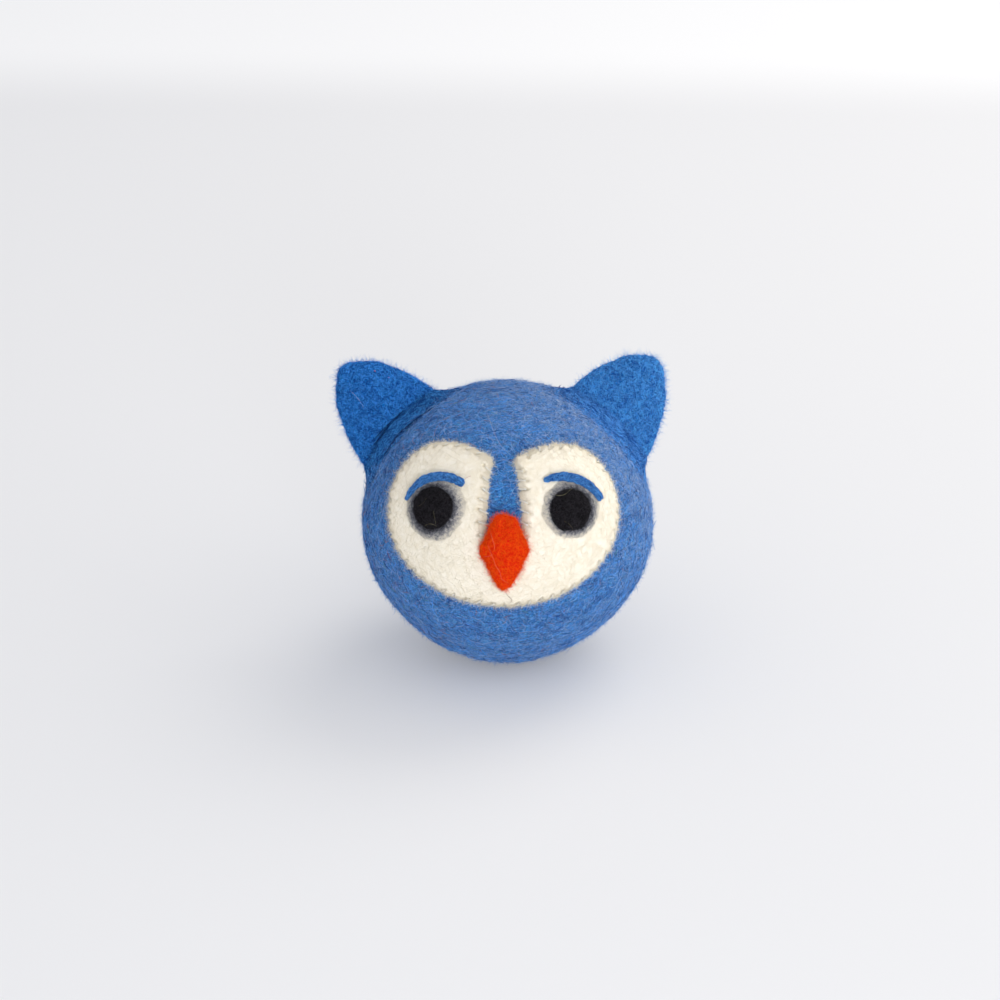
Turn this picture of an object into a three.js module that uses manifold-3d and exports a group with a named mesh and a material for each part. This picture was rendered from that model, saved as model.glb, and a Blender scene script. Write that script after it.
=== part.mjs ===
// Felted wool ball toy with an owl's face, in millimetres: +Z is up, the face looks towards -Y,
// and the origin is the centre of the small flat that the ball rests on.
import * as THREE from "three";
import { mergeVertices } from "three/addons/utils/BufferGeometryUtils.js";
import Module from "manifold-3d";

const wasm = await Module();
wasm.setup();
const { degToRad, lerp } = THREE.MathUtils;

// Ball
const ballRadius = 32.5;
const skinThickness = 6;
const restFlatDepth = 0.5;
const settledDrop = 2.1;
const seatGap = 0.3;
const faceLean = degToRad(25);

// Ears
const earHeightLeft = 19;
const earHeightRight = 17.7;
const earHalfWidth = 11.5;
const earThickness = 8.4;
const earTipThickness = 5.6;
const earTipRound = 4.4;
const earLeanLeft = 2;
const earLeanRight = 2.6;
const earRootHalfWidth = 8;
const earRootThickness = 4.4;
const earRiseLeft = degToRad(41);
const earRiseRight = degToRad(45.5);
const earForward = degToRad(5);

// Ear collars
const collarSpread = 3;
const collarHeight = 1.5;

// Face patch, as cut from flat felt
const faceLine = 3;
const patchHalfWidth = 28.2;
const patchDrop = 22.3;
const lobeRise = 16.6;
const lobeOuterReach = 13.4;
const lobePastSlot = 4.7;
const patchThickness = 1.5;
const patchEdgeThickness = 0.9;
const patchEdgeBand = 1.4;
const slotTopHalfWidth = 2.6;
const slotHalfWidth = 3.8;
const slotFoot = 4.5;
const slotCornerRound = 0.9;

// Stitching of the patch edge
const stitchPitch = 2.75;
const scallopDepth = 0.35;

// Eyes
const eyeInset = 13.9;
const eyeHeight = 3.3;
const pupilRadius = 4.4;
const pupilThickness = 1.6;
const pupilEdge = 0.5;
const eyeRingWidth = 1.7;
const eyeRingThickness = 0.6;

// Brows
const browThickness = 1.9;
const browEndThickness = 1.3;
const browReach = 0.7;
const browDrop = 1.35;
const browOuterAngle = degToRad(25);
const browInnerAngle = degToRad(136);

// Beak
const beakTopHeight = 2.1;
const beakTopHalfWidth = 2.1;
const beakHalfWidth = 5.2;
const beakWideDrop = 5.3;
const beakTipDrop = 14;
const beakTipHalfWidth = 0.9;
const beakThickness = 2.4;
const beakRimThickness = 0.7;
const beakCornerRound = 1.4;

// Shapes as shares of the sizes above
const earOutlineShares = [
  [1.03, -0.2], [1, 0], [0.94, 0.2], [0.84, 0.4], [0.69, 0.6], [0.48, 0.8], [0, 1],
];
const beakDomeShares = [[1, 0], [0.9, 0.42], [0.68, 0.76], [0.38, 0.95], [0, 1]];
const domeShares = [[1, 0], [0.93, 0.42], [0.75, 0.72], [0.45, 0.93], [0, 1]];
const heelShare = 0.9;
const eyeRingShares = [[0, 0], [1, 0], [1, 0.2], [0.66, 0.6], [0.33, 1], [0, 0.75], [0, 0]];
const collarShares = [[0, 1], [0.25, 0.62], [0.6, 0.36], [1, 0.2]];

// Fineness of the facets
const ballDetail = 11;
const coreDetail = 6;
const earSides = 28;
const earRings = 14;
const collarSteps = 32;
const patchRows = 4;
const finePerStitch = 4;
const eyeSides = 32;
const strandSides = 8;
const browSteps = 16;
const beakSides = 32;

const felt = (color) => new THREE.MeshStandardMaterial({ color, roughness: 0.95, metalness: 0 });

const materials = {
  core: felt("#e9e2d3"),
  ball: felt("#4876ad"),
  ear: felt("#2a6db2"),
  collar: felt("#35669f"),
  patch: felt("#ece5d3"),
  ring: felt("#8b8d94"),
  pupil: felt("#1b191c"),
  brow: felt("#2f6cb0"),
  beak: felt("#e23a08"),
};

// One closed body with its faces pointing out, from loose triangles or from a shape with doubled points.
function closedBody(geometry) {
  const bare = new THREE.BufferGeometry();
  bare.setAttribute("position", geometry.getAttribute("position").clone());
  if (geometry.index) bare.setIndex(geometry.index.clone());
  const merged = mergeVertices(bare);
  const corners = merged.index.array;
  const points = merged.getAttribute("position");
  const [a, b, c] = [new THREE.Vector3(), new THREE.Vector3(), new THREE.Vector3()];
  const kept = [];
  let volume = 0;
  for (let i = 0; i < corners.length; i += 3) {
    const [p, q, r] = [corners[i], corners[i + 1], corners[i + 2]];
    if (p === q || q === r || r === p) continue;
    kept.push(p, q, r);
    a.fromBufferAttribute(points, p);
    b.fromBufferAttribute(points, q);
    c.fromBufferAttribute(points, r);
    volume += a.dot(b.cross(c));
  }
  if (volume < 0) kept.reverse();
  merged.setIndex(kept);
  merged.computeVertexNormals();
  return merged;
}

function toSolid(geometry) {
  const body = closedBody(geometry);
  const vertProperties = new Float32Array(body.getAttribute("position").array);
  const triVerts = new Uint32Array(body.index.array);
  return new wasm.Manifold(new wasm.Mesh({ numProp: 3, vertProperties, triVerts }));
}

function toGeometry(solid) {
  const mesh = solid.getMesh();
  const geometry = new THREE.BufferGeometry();
  geometry.setAttribute("position", new THREE.BufferAttribute(new Float32Array(mesh.vertProperties), 3));
  geometry.setIndex(new THREE.BufferAttribute(new Uint32Array(mesh.triVerts), 1));
  return closedBody(geometry);
}

const sphere = (radius, detail) => new THREE.IcosahedronGeometry(radius, detail);

// A flat pattern laid on the ball: x and y keep their length from the middle, z stands off the surface.
function layOnBall(geometry) {
  const points = geometry.getAttribute("position");
  for (let i = 0; i < points.count; i++) {
    const laid = laidPoint(points.getX(i), points.getY(i), points.getZ(i));
    points.setXYZ(i, laid.x, laid.y, laid.z);
  }
  return geometry;
}

function laidPoint(x, y, z) {
  const reach = Math.hypot(x, y);
  const angle = reach / ballRadius;
  const radius = ballRadius + z;
  const across = reach > 0 ? Math.sin(angle) / reach : 0;
  return new THREE.Vector3(x * across * radius, y * across * radius, Math.cos(angle) * radius);
}

// Skin over rings of points, closed over both end rings or joined end to end.
function loft(rings, joined = false) {
  const triangles = [];
  const sides = rings[0].length;
  const spans = joined ? rings.length : rings.length - 1;
  for (let i = 0; i < spans; i++) {
    const ring = rings[i];
    const next = rings[(i + 1) % rings.length];
    for (let j = 0; j < sides; j++) {
      const k = (j + 1) % sides;
      triangles.push(ring[j], ring[k], next[k], ring[j], next[k], next[j]);
    }
  }
  if (!joined) {
    coverRing(triangles, rings[0], true);
    coverRing(triangles, rings[rings.length - 1], false);
  }
  return closedBody(new THREE.BufferGeometry().setFromPoints(triangles));
}

function coverRing(triangles, ring, first) {
  const middle = new THREE.Vector3();
  for (const point of ring) middle.add(point);
  middle.divideScalar(ring.length);
  ring.forEach((point, j) => {
    const next = ring[(j + 1) % ring.length];
    if (first) triangles.push(middle, next, point);
    else triangles.push(middle, point, next);
  });
}

// A ring of the ear's rounded, flattened section at one height over the middle of the ball.
function sectionRing(halfWidth, halfThickness, height, shift) {
  const ring = [];
  for (let i = 0; i < earSides; i++) {
    const turn = (i / earSides) * Math.PI * 2;
    ring.push(new THREE.Vector3(shift + halfWidth * Math.cos(turn), halfThickness * Math.sin(turn), height));
  }
  return ring;
}

// The ear's blade, from below the ball's surface to its tip, with room all round it if asked.
function earBlade(ear, room = 0) {
  const outline = earOutlineShares.map(([width, height]) =>
    new THREE.Vector2(width * earHalfWidth, height * ear.height));
  const mirrored = outline.slice(0, -1).reverse().map((point) => new THREE.Vector2(-point.x, point.y));
  const curve = new THREE.SplineCurve([...outline, ...mirrored]);
  const rings = [];
  for (let i = 0; i <= earRings; i++) {
    const point = curve.getPoint(i / earRings / 2);
    const rise = Math.max(0, point.y / ear.height);
    const taper = lerp(earThickness, earTipThickness, rise) / 2;
    const closing = 1 - Math.min(1, point.x / earTipRound);
    const halfThickness = taper * Math.sqrt(Math.max(0, 1 - closing * closing));
    const shift = -ear.side * ear.lean * rise;
    rings.push(sectionRing(point.x + room, halfThickness + room, ballRadius + point.y + room * rise, shift));
  }
  return loft(rings);
}

// The fibres of the ear that go down through the skin, as a plug.
function earRoot(room = 0, overrun = 0) {
  const halfWidth = earRootHalfWidth + room;
  const halfThickness = earRootThickness / 2 + room;
  const inner = ballRadius - skinThickness - overrun;
  return loft([
    sectionRing(halfWidth, halfThickness, inner, 0),
    sectionRing(halfWidth, halfThickness, ballRadius + collarHeight + overrun, 0),
  ]);
}

function makeEar(ear) {
  const blade = toSolid(earBlade(ear));
  const ball = toSolid(sphere(ballRadius + seatGap, ballDetail));
  return toGeometry(blade.subtract(ball).add(toSolid(earRoot())));
}

// The band of wool round the foot of an ear: a hollow fillet, high against the ear and thin outside.
function makeEarCollar(ear) {
  const footLength = ballRadius * Math.asin(earHalfWidth / ballRadius);
  const footBreadth = earThickness / 2;
  const rings = [];
  for (let i = 0; i < collarSteps; i++) {
    const turn = (i / collarSteps) * Math.PI * 2;
    const foot = new THREE.Vector2(footLength * Math.cos(turn), footBreadth * Math.sin(turn));
    const away = new THREE.Vector2(footBreadth * Math.cos(turn), footLength * Math.sin(turn)).normalize();
    const place = (spread, height) =>
      laidPoint(foot.x + away.x * spread, foot.y + away.y * spread, seatGap + height);
    const top = collarShares.map(([spread, height]) => place(spread * collarSpread, height * collarHeight));
    const under = [collarSpread, 0, -footBreadth / 2].map((spread) => place(spread, 0));
    rings.push([...top, ...under, place(-footBreadth / 2, collarHeight)]);
  }
  return toGeometry(toSolid(loft(rings, true)).subtract(toSolid(earBlade(ear, seatGap))));
}

// Placing of the head's parts: everything turns about the middle of the ball.
const head = new THREE.Group();
head.position.z = ballRadius - restFlatDepth;
head.rotation.x = -faceLean;

const face = new THREE.Group();
face.rotation.x = Math.PI / 2;
head.add(face);

function makeEarGroup(side, rise) {
  const group = new THREE.Group();
  group.rotation.set(earForward, side * (Math.PI / 2 - rise), 0, "YXZ");
  head.add(group);
  return group;
}

const ears = {
  left: { side: -1, height: earHeightLeft, lean: earLeanLeft, group: makeEarGroup(-1, earRiseLeft) },
  right: { side: 1, height: earHeightRight, lean: earLeanRight, group: makeEarGroup(1, earRiseRight) },
};

// The blue layer: hollow for the core, with a socket for each ear's root and a flat to rest on.
function makeBallSkin() {
  const inner = toSolid(sphere(ballRadius - skinThickness, coreDetail));
  let skin = toSolid(sphere(ballRadius, ballDetail)).subtract(inner);
  head.updateMatrixWorld(true);
  for (const { group } of Object.values(ears)) {
    const socket = earRoot(seatGap, skinThickness / 2);
    const turn = new THREE.Matrix4().extractRotation(group.matrixWorld);
    skin = skin.subtract(toSolid(socket.applyMatrix4(turn)));
  }
  const floor = new THREE.BoxGeometry(ballRadius, ballRadius, ballRadius);
  floor.translate(0, 0, restFlatDepth - ballRadius - ballRadius / 2);
  return toGeometry(skin.subtract(toSolid(floor)));
}

function makeWoolCore() {
  return closedBody(sphere(ballRadius - skinThickness - seatGap, coreDetail));
}

// Right half of the patch's outline, from its lowest point up to the corner of the slot.
// The lobe's inner curve is cut short by the slot.
const lobeCentre = patchHalfWidth - lobeOuterReach;
const lobeInnerReach = lobeCentre - slotTopHalfWidth + lobePastSlot;
const slotCorner = (() => {
  const turn = Math.acos((slotTopHalfWidth - lobeCentre) / lobeInnerReach);
  return new THREE.Vector2(slotTopHalfWidth, faceLine + lobeRise * Math.sin(turn));
})();

function quarter(x, y, radiusX, radiusY, start, end) {
  return new THREE.EllipseCurve(x, y, radiusX, radiusY, start, end, end < start);
}

function halfOutlines() {
  const cornerTurn = Math.acos((slotTopHalfWidth + slotCornerRound - lobeCentre) / lobeInnerReach);
  const before = new THREE.Vector2(
    lobeCentre + lobeInnerReach * Math.cos(cornerTurn), faceLine + lobeRise * Math.sin(cornerTurn));
  const after = new THREE.Vector2(slotTopHalfWidth, slotCorner.y - slotCornerRound);
  const beforeBend = before.clone().lerp(slotCorner, 1 / 2);
  const afterBend = after.clone().lerp(slotCorner, 1 / 2);
  const meeting = beforeBend.clone().lerp(afterBend, 1 / 2);

  const outer = new THREE.CurvePath();
  outer.add(quarter(0, faceLine, patchHalfWidth, patchDrop, -Math.PI / 2, 0));
  outer.add(quarter(lobeCentre, faceLine, lobeOuterReach, lobeRise, 0, Math.PI / 2));
  outer.add(quarter(lobeCentre, faceLine, lobeInnerReach, lobeRise, Math.PI / 2, cornerTurn));
  outer.add(new THREE.QuadraticBezierCurve(before, beforeBend, meeting));

  const slot = new THREE.CurvePath();
  const sideStart = new THREE.Vector2(slotHalfWidth, slotHalfWidth - slotFoot);
  const sideBend = new THREE.Vector2(slotHalfWidth, (sideStart.y + after.y) / 2);
  slot.add(quarter(0, sideStart.y, slotHalfWidth, slotHalfWidth, -Math.PI / 2, 0));
  slot.add(new THREE.QuadraticBezierCurve(sideStart, sideBend, after));
  slot.add(new THREE.QuadraticBezierCurve(after, afterBend, meeting));
  return { outer, slot };
}

// Points along an edge, pulled in where a stitch crosses it: turn is 1 where the felt lies to the left.
// Each has the point a band's width further in, less where the two edges meet at the slot's corner.
function edgePoints(curve, steps, stitches, turn) {
  const meeting = curve.getPoint(1);
  const points = [];
  for (let i = 0; i <= steps; i++) {
    const share = i / steps;
    const ahead = curve.getPoint(Math.min(1, share + 1 / steps / 2));
    const along = ahead.sub(curve.getPoint(Math.max(0, share - 1 / steps / 2))).normalize();
    const inward = new THREE.Vector2(-along.y, along.x).multiplyScalar(turn);
    const line = curve.getPoint(share);
    const room = Math.min(1, line.distanceTo(meeting) / patchEdgeBand / 2);
    const pull = scallopDepth * room * (1 - Math.abs(Math.sin(share * stitches * Math.PI))) ** 2;
    points.push({
      point: line.clone().addScaledVector(inward, pull),
      inner: line.clone().addScaledVector(inward, patchEdgeBand * room),
      thickness: patchEdgeThickness,
      room,
    });
  }
  return points;
}

// One column of the sheet runs from the outer edge to the slot: rows of points with their thickness.
function sheetColumn(outer, slot) {
  const room = Math.min(outer.room, slot.room);
  const thickness = lerp(patchEdgeThickness, patchThickness, room);
  const column = [outer];
  for (let i = 0; i <= patchRows; i++) {
    column.push({ point: outer.inner.clone().lerp(slot.inner, i / patchRows), thickness });
  }
  column.push(slot);
  return column;
}

const laidTop = ({ point, thickness }) => laidPoint(point.x, point.y, seatGap + thickness);
const laidUnder = ({ point }) => laidPoint(point.x, point.y, seatGap);
const flipped = ({ point, thickness }) => ({ point: new THREE.Vector2(-point.x, point.y), thickness });

// The cream sheet: columns from the left corner of the slot round the bottom to the right one.
function makeFacePatch() {
  const { outer, slot } = halfOutlines();
  const slotStitches = Math.max(1, Math.round(outer.getLength() / stitchPitch / 3));
  const stitches = slotStitches * 3;
  const rim = edgePoints(outer, stitches * finePerStitch, stitches, 1);
  const slotEdge = edgePoints(slot, stitches, slotStitches, -1);
  const half = slotEdge.map((point, i) => sheetColumn(rim[i * finePerStitch], point));
  const columns = [...half.slice(1).reverse().map((column) => column.map(flipped)), ...half];
  const edge = [...rim.slice(1).reverse().map(flipped), ...rim];
  const triangles = [];
  addSheetFace(triangles, columns, edge, laidTop, false);
  addSheetFace(triangles, columns, edge, laidUnder, true);
  addWall(triangles, edge, false);
  addWall(triangles, columns.map((column) => column[column.length - 1]), true);
  return closedBody(new THREE.BufferGeometry().setFromPoints(triangles));
}

function addSheetFace(triangles, columns, edge, lay, under) {
  const add = (a, b, c) => {
    const [second, third] = under ? [c, b] : [b, c];
    triangles.push(lay(a), lay(second), lay(third));
  };
  for (let i = 0; i + 1 < columns.length; i++) {
    const [near, far] = [columns[i], columns[i + 1]];
    const fine = edge.slice(i * finePerStitch, (i + 1) * finePerStitch + 1);
    const middle = finePerStitch / 2;
    for (let j = 0; j < finePerStitch; j++) add(j < middle ? near[1] : far[1], fine[j], fine[j + 1]);
    add(near[1], fine[middle], far[1]);
    for (let row = 1; row + 1 < near.length; row++) {
      add(near[row], far[row], far[row + 1]);
      add(near[row], far[row + 1], near[row + 1]);
    }
  }
}

function addWall(triangles, edge, inner) {
  for (let i = 0; i + 1 < edge.length; i++) {
    const corners = [laidUnder(edge[i]), laidUnder(edge[i + 1]), laidTop(edge[i + 1]), laidTop(edge[i])];
    const [a, b, c, d] = inner ? corners.reverse() : corners;
    triangles.push(a, b, c, a, c, d);
  }
}

const onPatch = seatGap + patchThickness + seatGap;
const eyeOffset = patchHalfWidth - eyeInset;
const eyeRingRadius = pupilRadius + seatGap + eyeRingWidth;

// A turned shape standing on the patch at an eye, from a profile of radius and height.
function turnedAtEye(profile, side) {
  const points = profile.map(([radius, height]) => new THREE.Vector2(radius, height));
  const turned = new THREE.LatheGeometry(points, eyeSides);
  turned.rotateX(Math.PI / 2);
  turned.translate(side * eyeOffset, eyeHeight, onPatch);
  return closedBody(layOnBall(turned));
}

function makePupil(side) {
  const dome = domeShares.map(([width, height]) =>
    [width * pupilRadius, pupilEdge + height * (pupilThickness - pupilEdge)]);
  return turnedAtEye([[0, 0], [pupilRadius - pupilEdge / 2, 0], ...dome], side);
}

// A soft ring that starts clear of the pupil and thins towards its outer edge.
function makeEyeRing(side) {
  const profile = eyeRingShares.map(([width, height]) =>
    [eyeRingRadius - (1 - width) * eyeRingWidth, height * eyeRingThickness]);
  return turnedAtEye(profile, side);
}

// A strand laid in an arc over an eye ring, thinner at its outer end.
function makeBrow(side) {
  const arcRadius = eyeRingRadius + browReach + browThickness / 2;
  const rings = [];
  for (let i = 0; i <= browSteps; i++) {
    const share = i / browSteps;
    const turn = lerp(browOuterAngle, browInnerAngle, share);
    const thickness = lerp(browEndThickness, browThickness, Math.min(1, share * 3));
    const nearEnd = Math.min(1, Math.min(share, 1 - share) * browSteps / 2 + 1 / 2);
    const radius = thickness * Math.sqrt(1 - (1 - nearEnd) ** 2) / 2;
    const ring = [];
    for (let j = 0; j < strandSides; j++) {
      const roll = (j / strandSides) * Math.PI * 2;
      const reach = arcRadius + radius * Math.cos(roll);
      const x = side * (eyeOffset + reach * Math.cos(turn));
      const y = eyeHeight - browDrop + reach * Math.sin(turn);
      const height = onPatch + eyeRingThickness / 2 + thickness / 2 + radius * Math.sin(roll);
      ring.push(laidPoint(x, y, height));
    }
    rings.push(ring);
  }
  return loft(rings);
}

// Outline through corners, each rounded by a curve that starts the given distance before it.
function roundedOutline(corners, round) {
  const path = new THREE.CurvePath();
  const count = corners.length;
  let last = null;
  for (let i = 0; i <= count; i++) {
    const corner = corners[i % count];
    const before = corners[(i + count - 1) % count];
    const after = corners[(i + 1) % count];
    const cut = (to) => corner.clone().lerp(to, Math.min(1 / 3, round / corner.distanceTo(to)));
    if (last) path.add(new THREE.LineCurve(last, cut(before)));
    if (i < count) path.add(new THREE.QuadraticBezierCurve(cut(before), corner, cut(after)));
    last = cut(after);
  }
  return path;
}

// Rings of an outline drawn in towards its middle, each by its share and at its height.
function layeredRings(outline, middle, layers) {
  return layers.map(([share, height]) => outline.map((point) => {
    const drawn = middle.clone().lerp(point, share);
    return laidPoint(drawn.x, drawn.y, height);
  }));
}

const spreadLayers = (height) => [1 / 3, 2 / 3, 1].map((share) => [share, height]);
const closingLayers = (height) => spreadLayers(height).reverse();

// The foot of the slot with the beak's outline over it, filled from the ball up into the beak.
function makeBeakHeel(beakOutline, middle) {
  const { slot } = halfOutlines();
  const right = slot.getSpacedPoints(beakSides / 2).map((point) => point.clone());
  const left = right.slice(1).reverse().map((point) => new THREE.Vector2(-point.x, point.y));
  const foot = new THREE.Vector2(0, slotHalfWidth - slotFoot);
  const room = 1 - seatGap / slotTopHalfWidth;
  const slotLayers = [[room, 0], [room, onPatch + beakThickness]];
  const fill = toSolid(loft(layeredRings([...right, ...left], foot, slotLayers)));
  const level = onPatch + beakRimThickness / 2;
  const under = [...spreadLayers(seatGap), ...closingLayers(level)].map(([share, height]) =>
    [share * heelShare, height]);
  return toSolid(loft(layeredRings(beakOutline, middle, under))).intersect(fill);
}

// The beak: a domed diamond on the patch, with a heel that fills the foot of the slot.
function makeBeak() {
  const half = [
    new THREE.Vector2(beakTopHalfWidth, beakTopHeight),
    new THREE.Vector2(beakHalfWidth, -beakWideDrop),
    new THREE.Vector2(beakTipHalfWidth, -beakTipDrop),
  ];
  const corners = [...half, ...half.slice().reverse().map((point) => new THREE.Vector2(-point.x, point.y))];
  const outline = roundedOutline(corners, beakCornerRound).getSpacedPoints(beakSides).slice(0, beakSides);
  const middle = new THREE.Vector2(0, -beakWideDrop);
  const dome = beakDomeShares.map(([width, height]) =>
    [width, onPatch + beakRimThickness + height * (beakThickness - beakRimThickness)]);
  const beak = toSolid(loft(layeredRings(outline, middle, [...spreadLayers(onPatch), ...dome])));
  return toGeometry(beak.add(makeBeakHeel(outline, middle)));
}

// The finished toy
const toy = new THREE.Group();

function addPiece(parent, name, geometry, material) {
  const mesh = new THREE.Mesh(geometry, material);
  mesh.name = name;
  parent.add(mesh);
  return mesh;
}

const ballGroup = new THREE.Group();
ballGroup.position.z = ballRadius - restFlatDepth;
addPiece(ballGroup, "wool_core", makeWoolCore(), materials.core);
addPiece(ballGroup, "ball_skin", makeBallSkin(), materials.ball);
addPiece(face, "face_patch", makeFacePatch(), materials.patch);
addPiece(face, "beak", makeBeak(), materials.beak);
for (const [label, ear] of Object.entries(ears)) {
  addPiece(ear.group, `ear_${label}`, makeEar(ear), materials.ear);
  addPiece(ear.group, `ear_collar_${label}`, makeEarCollar(ear), materials.collar);
  addPiece(face, `eye_ring_${label}`, makeEyeRing(ear.side), materials.ring);
  addPiece(face, `pupil_${label}`, makePupil(ear.side), materials.pupil);
  addPiece(face, `brow_${label}`, makeBrow(ear.side), materials.brow);
}
toy.add(ballGroup, head);

// The soft ball has settled: lower than it is wide, with all that is sewn and felted to it.
const ballHeightShare = 1 - settledDrop / ballRadius / 2;
toy.scale.z = ballHeightShare;

export default toy;
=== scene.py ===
import math

import bmesh
import bpy
import numpy as np
from mathutils import Euler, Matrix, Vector, noise
from mathutils.bvhtree import BVHTree


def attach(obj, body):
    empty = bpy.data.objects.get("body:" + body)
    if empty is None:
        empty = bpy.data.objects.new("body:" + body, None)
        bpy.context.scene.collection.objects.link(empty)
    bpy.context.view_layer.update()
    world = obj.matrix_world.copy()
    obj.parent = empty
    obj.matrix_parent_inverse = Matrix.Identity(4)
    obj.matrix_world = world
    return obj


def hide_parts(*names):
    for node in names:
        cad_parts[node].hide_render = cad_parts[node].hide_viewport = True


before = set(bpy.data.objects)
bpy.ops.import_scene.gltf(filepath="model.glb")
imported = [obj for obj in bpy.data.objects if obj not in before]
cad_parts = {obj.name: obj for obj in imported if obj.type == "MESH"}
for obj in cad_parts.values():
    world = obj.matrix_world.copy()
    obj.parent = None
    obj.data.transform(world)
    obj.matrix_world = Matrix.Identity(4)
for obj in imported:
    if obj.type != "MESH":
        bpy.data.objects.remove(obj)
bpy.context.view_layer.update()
mm = 0.001
print("frame loaded:", len(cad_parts), "nodes")


# The ball and the places on it, in mm

ball = {
    "radius": 32.5,
    "skin": 6.0,
    "restDepth": 0.5,
    "settledDrop": 2.1,    # how much lower than wide
    "narrowing": 0.7,      # how much slimmer than round below the middle
    "lean": 25.0,          # degrees that the face looks up
    "lumpSize": 17.0,      # slow unevenness of a ball felted by hand
    "lumpHeight": 0.32,
    "dentSize": 5.0,
    "dentHeight": 0.1,
    "woolSize": 1.3,       # locks of wool matted into the surface
    "woolHeight": 0.045,
    "easing": 0.25,        # how softly it comes down on to the flat that it rests on
    "seed": 3.7,
}
ballCentre = np.array([0, 0, ball["radius"] - ball["restDepth"]])
heightShare = 1 - ball["settledDrop"] / ball["radius"] / 2
headTurn = np.array(Euler((math.radians(-ball["lean"]), 0, 0)).to_matrix())


def noiseAt(points, size, seed):
    return np.array([noise.noise(p) for p in (points / size + seed).tolist()])


# the same for places on a flat pattern
def flatNoise(flat, size, seed):
    return noiseAt(np.column_stack([flat, np.zeros(len(flat))]), size, seed)


def fromCentre(points):
    return np.linalg.norm(points - ballCentre, axis=1)


def lumps(directions):
    places = directions * ball["radius"]
    slim = ball["narrowing"] * np.exp(-((directions[:, 2] + 0.62) / 0.28) ** 2)
    return (-slim + ball["lumpHeight"] * noiseAt(places, ball["lumpSize"], ball["seed"])
            + ball["dentHeight"] * noiseAt(places, ball["dentSize"], ball["seed"] * 2))


def fromHead(local):
    return ballCentre + local @ headTurn.T


# a flat pattern laid on the ball: x and y keep their length from the middle of the face, z stands off it
def onFace(x, y, z):
    x, y, z = (np.array(v, float).ravel() for v in np.broadcast_arrays(x, y, z))
    reach = np.hypot(x, y)
    angle = reach / ball["radius"]
    across = np.where(reach > 0, np.sin(angle) / np.maximum(reach, 1e-9), 0)
    directions = np.stack([x * across, -np.cos(angle), y * across], 1) @ headTurn.T
    return ballCentre + directions * (ball["radius"] + z + lumps(directions))[:, None]


# Meshes from arrays of points in mm. Everything is shaped on a round ball and settles with it here.

def addMesh(name, points, faces, material):
    points = np.asarray(points, float) * (1, 1, heightShare) * mm
    mesh = bpy.data.meshes.new(name)
    mesh.vertices.add(len(points))
    mesh.vertices.foreach_set("co", points.astype(np.float32).ravel())
    mesh.loops.add(faces.size)
    mesh.loops.foreach_set("vertex_index", faces.ravel().astype(np.int32))
    mesh.polygons.add(len(faces))
    mesh.polygons.foreach_set("loop_start", (np.arange(len(faces)) * faces.shape[1]).astype(np.int32))
    mesh.polygons.foreach_set("use_smooth", np.ones(len(faces), bool))
    mesh.update(calc_edges=True)
    mesh.validate()
    mesh.materials.append(material)
    piece = bpy.data.objects.new(name, mesh)
    bpy.context.scene.collection.objects.link(piece)
    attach(piece, "root")
    return piece


# one value for each point of a piece, which its material reads
def keepValues(piece, name, values):
    kept = piece.data.attributes.new(name, "FLOAT", "POINT")
    kept.data.foreach_set("value", values.astype(np.float32))


# quads between rows of points: rows x columns, joined round where closed
def gridFaces(rows, columns, closed=False):
    i, j = np.meshgrid(np.arange(rows - 1), np.arange(columns if closed else columns - 1), indexing="ij")
    k = (j + 1) % columns
    corners = [i * columns + j, i * columns + k, (i + 1) * columns + k, (i + 1) * columns + j]
    return np.stack(corners, -1).reshape(-1, 4)


def trianglesOf(faces):
    return faces if faces.shape[1] == 3 else np.concatenate([faces[:, [0, 1, 2]], faces[:, [0, 2, 3]]])


def normalsOf(points, triangles):
    a, b, c = (points[triangles[:, i]] for i in range(3))
    cross = np.cross(b - a, c - a)
    normals = np.zeros_like(points)
    for i in range(3):
        np.add.at(normals, triangles[:, i], cross)
    return normals / np.maximum(np.linalg.norm(normals, axis=1), 1e-12)[:, None]


# pushes points in and out along their normals, in waves of a size and height in mm, each with its seed
def roughen(points, faces, waves, seed=1):
    normals = normalsOf(points, trianglesOf(faces))
    for size, height, share in waves:
        points = points + normals * (height * noiseAt(points, size, seed * share))[:, None]
    return points


def unit(vectors):
    return vectors / np.maximum(np.linalg.norm(vectors, axis=-1, keepdims=True), 1e-12)


# thin tubes along many paths at once: paths and ups are (count, steps, 3), radii is (count, steps)
def tubesAlong(paths, radii, ups, sides):
    count, steps = radii.shape
    along = unit(np.gradient(paths, axis=1))
    across = unit(np.cross(along, ups))
    upright = np.cross(across, along)
    turn = np.arange(sides) / sides * 2 * np.pi
    ring = (across[:, :, None] * np.cos(turn)[:, None] + upright[:, :, None] * np.sin(turn)[:, None])
    points = (paths[:, :, None] + ring * radii[:, :, None, None]).reshape(-1, 3)
    one = gridFaces(steps, sides, closed=True)[:, ::-1]
    faces = (one[None] + (np.arange(count) * steps * sides)[:, None, None]).reshape(-1, 4)
    return points, faces


# Materials

def linear(code):
    shares = [int(code[i:i + 2], 16) / 255 for i in (1, 3, 5)]
    return [s / 12.92 if s <= 0.04045 else ((s + 0.055) / 1.055) ** 2.4 for s in shares] + [1]


# one node with its settings; a value in inputs is a number, a colour or the output that feeds it
def addNode(tree, kind, inputs=None, **settings):
    node = tree.nodes.new("ShaderNode" + kind)
    for key, value in settings.items():
        setattr(node, key, value)
    for key, value in (inputs or {}).items():
        if isinstance(value, bpy.types.NodeSocket):
            tree.links.new(value, node.inputs[key])
        else:
            node.inputs[key].default_value = value
    return node


# an empty material, its nodes, and the place of each point on its piece
def startMaterial(name):
    material = bpy.data.materials.new(name)
    material.use_nodes = True
    tree = material.node_tree
    tree.nodes.clear()
    return material, tree, addNode(tree, "TexCoord").outputs["Object"]


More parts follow.
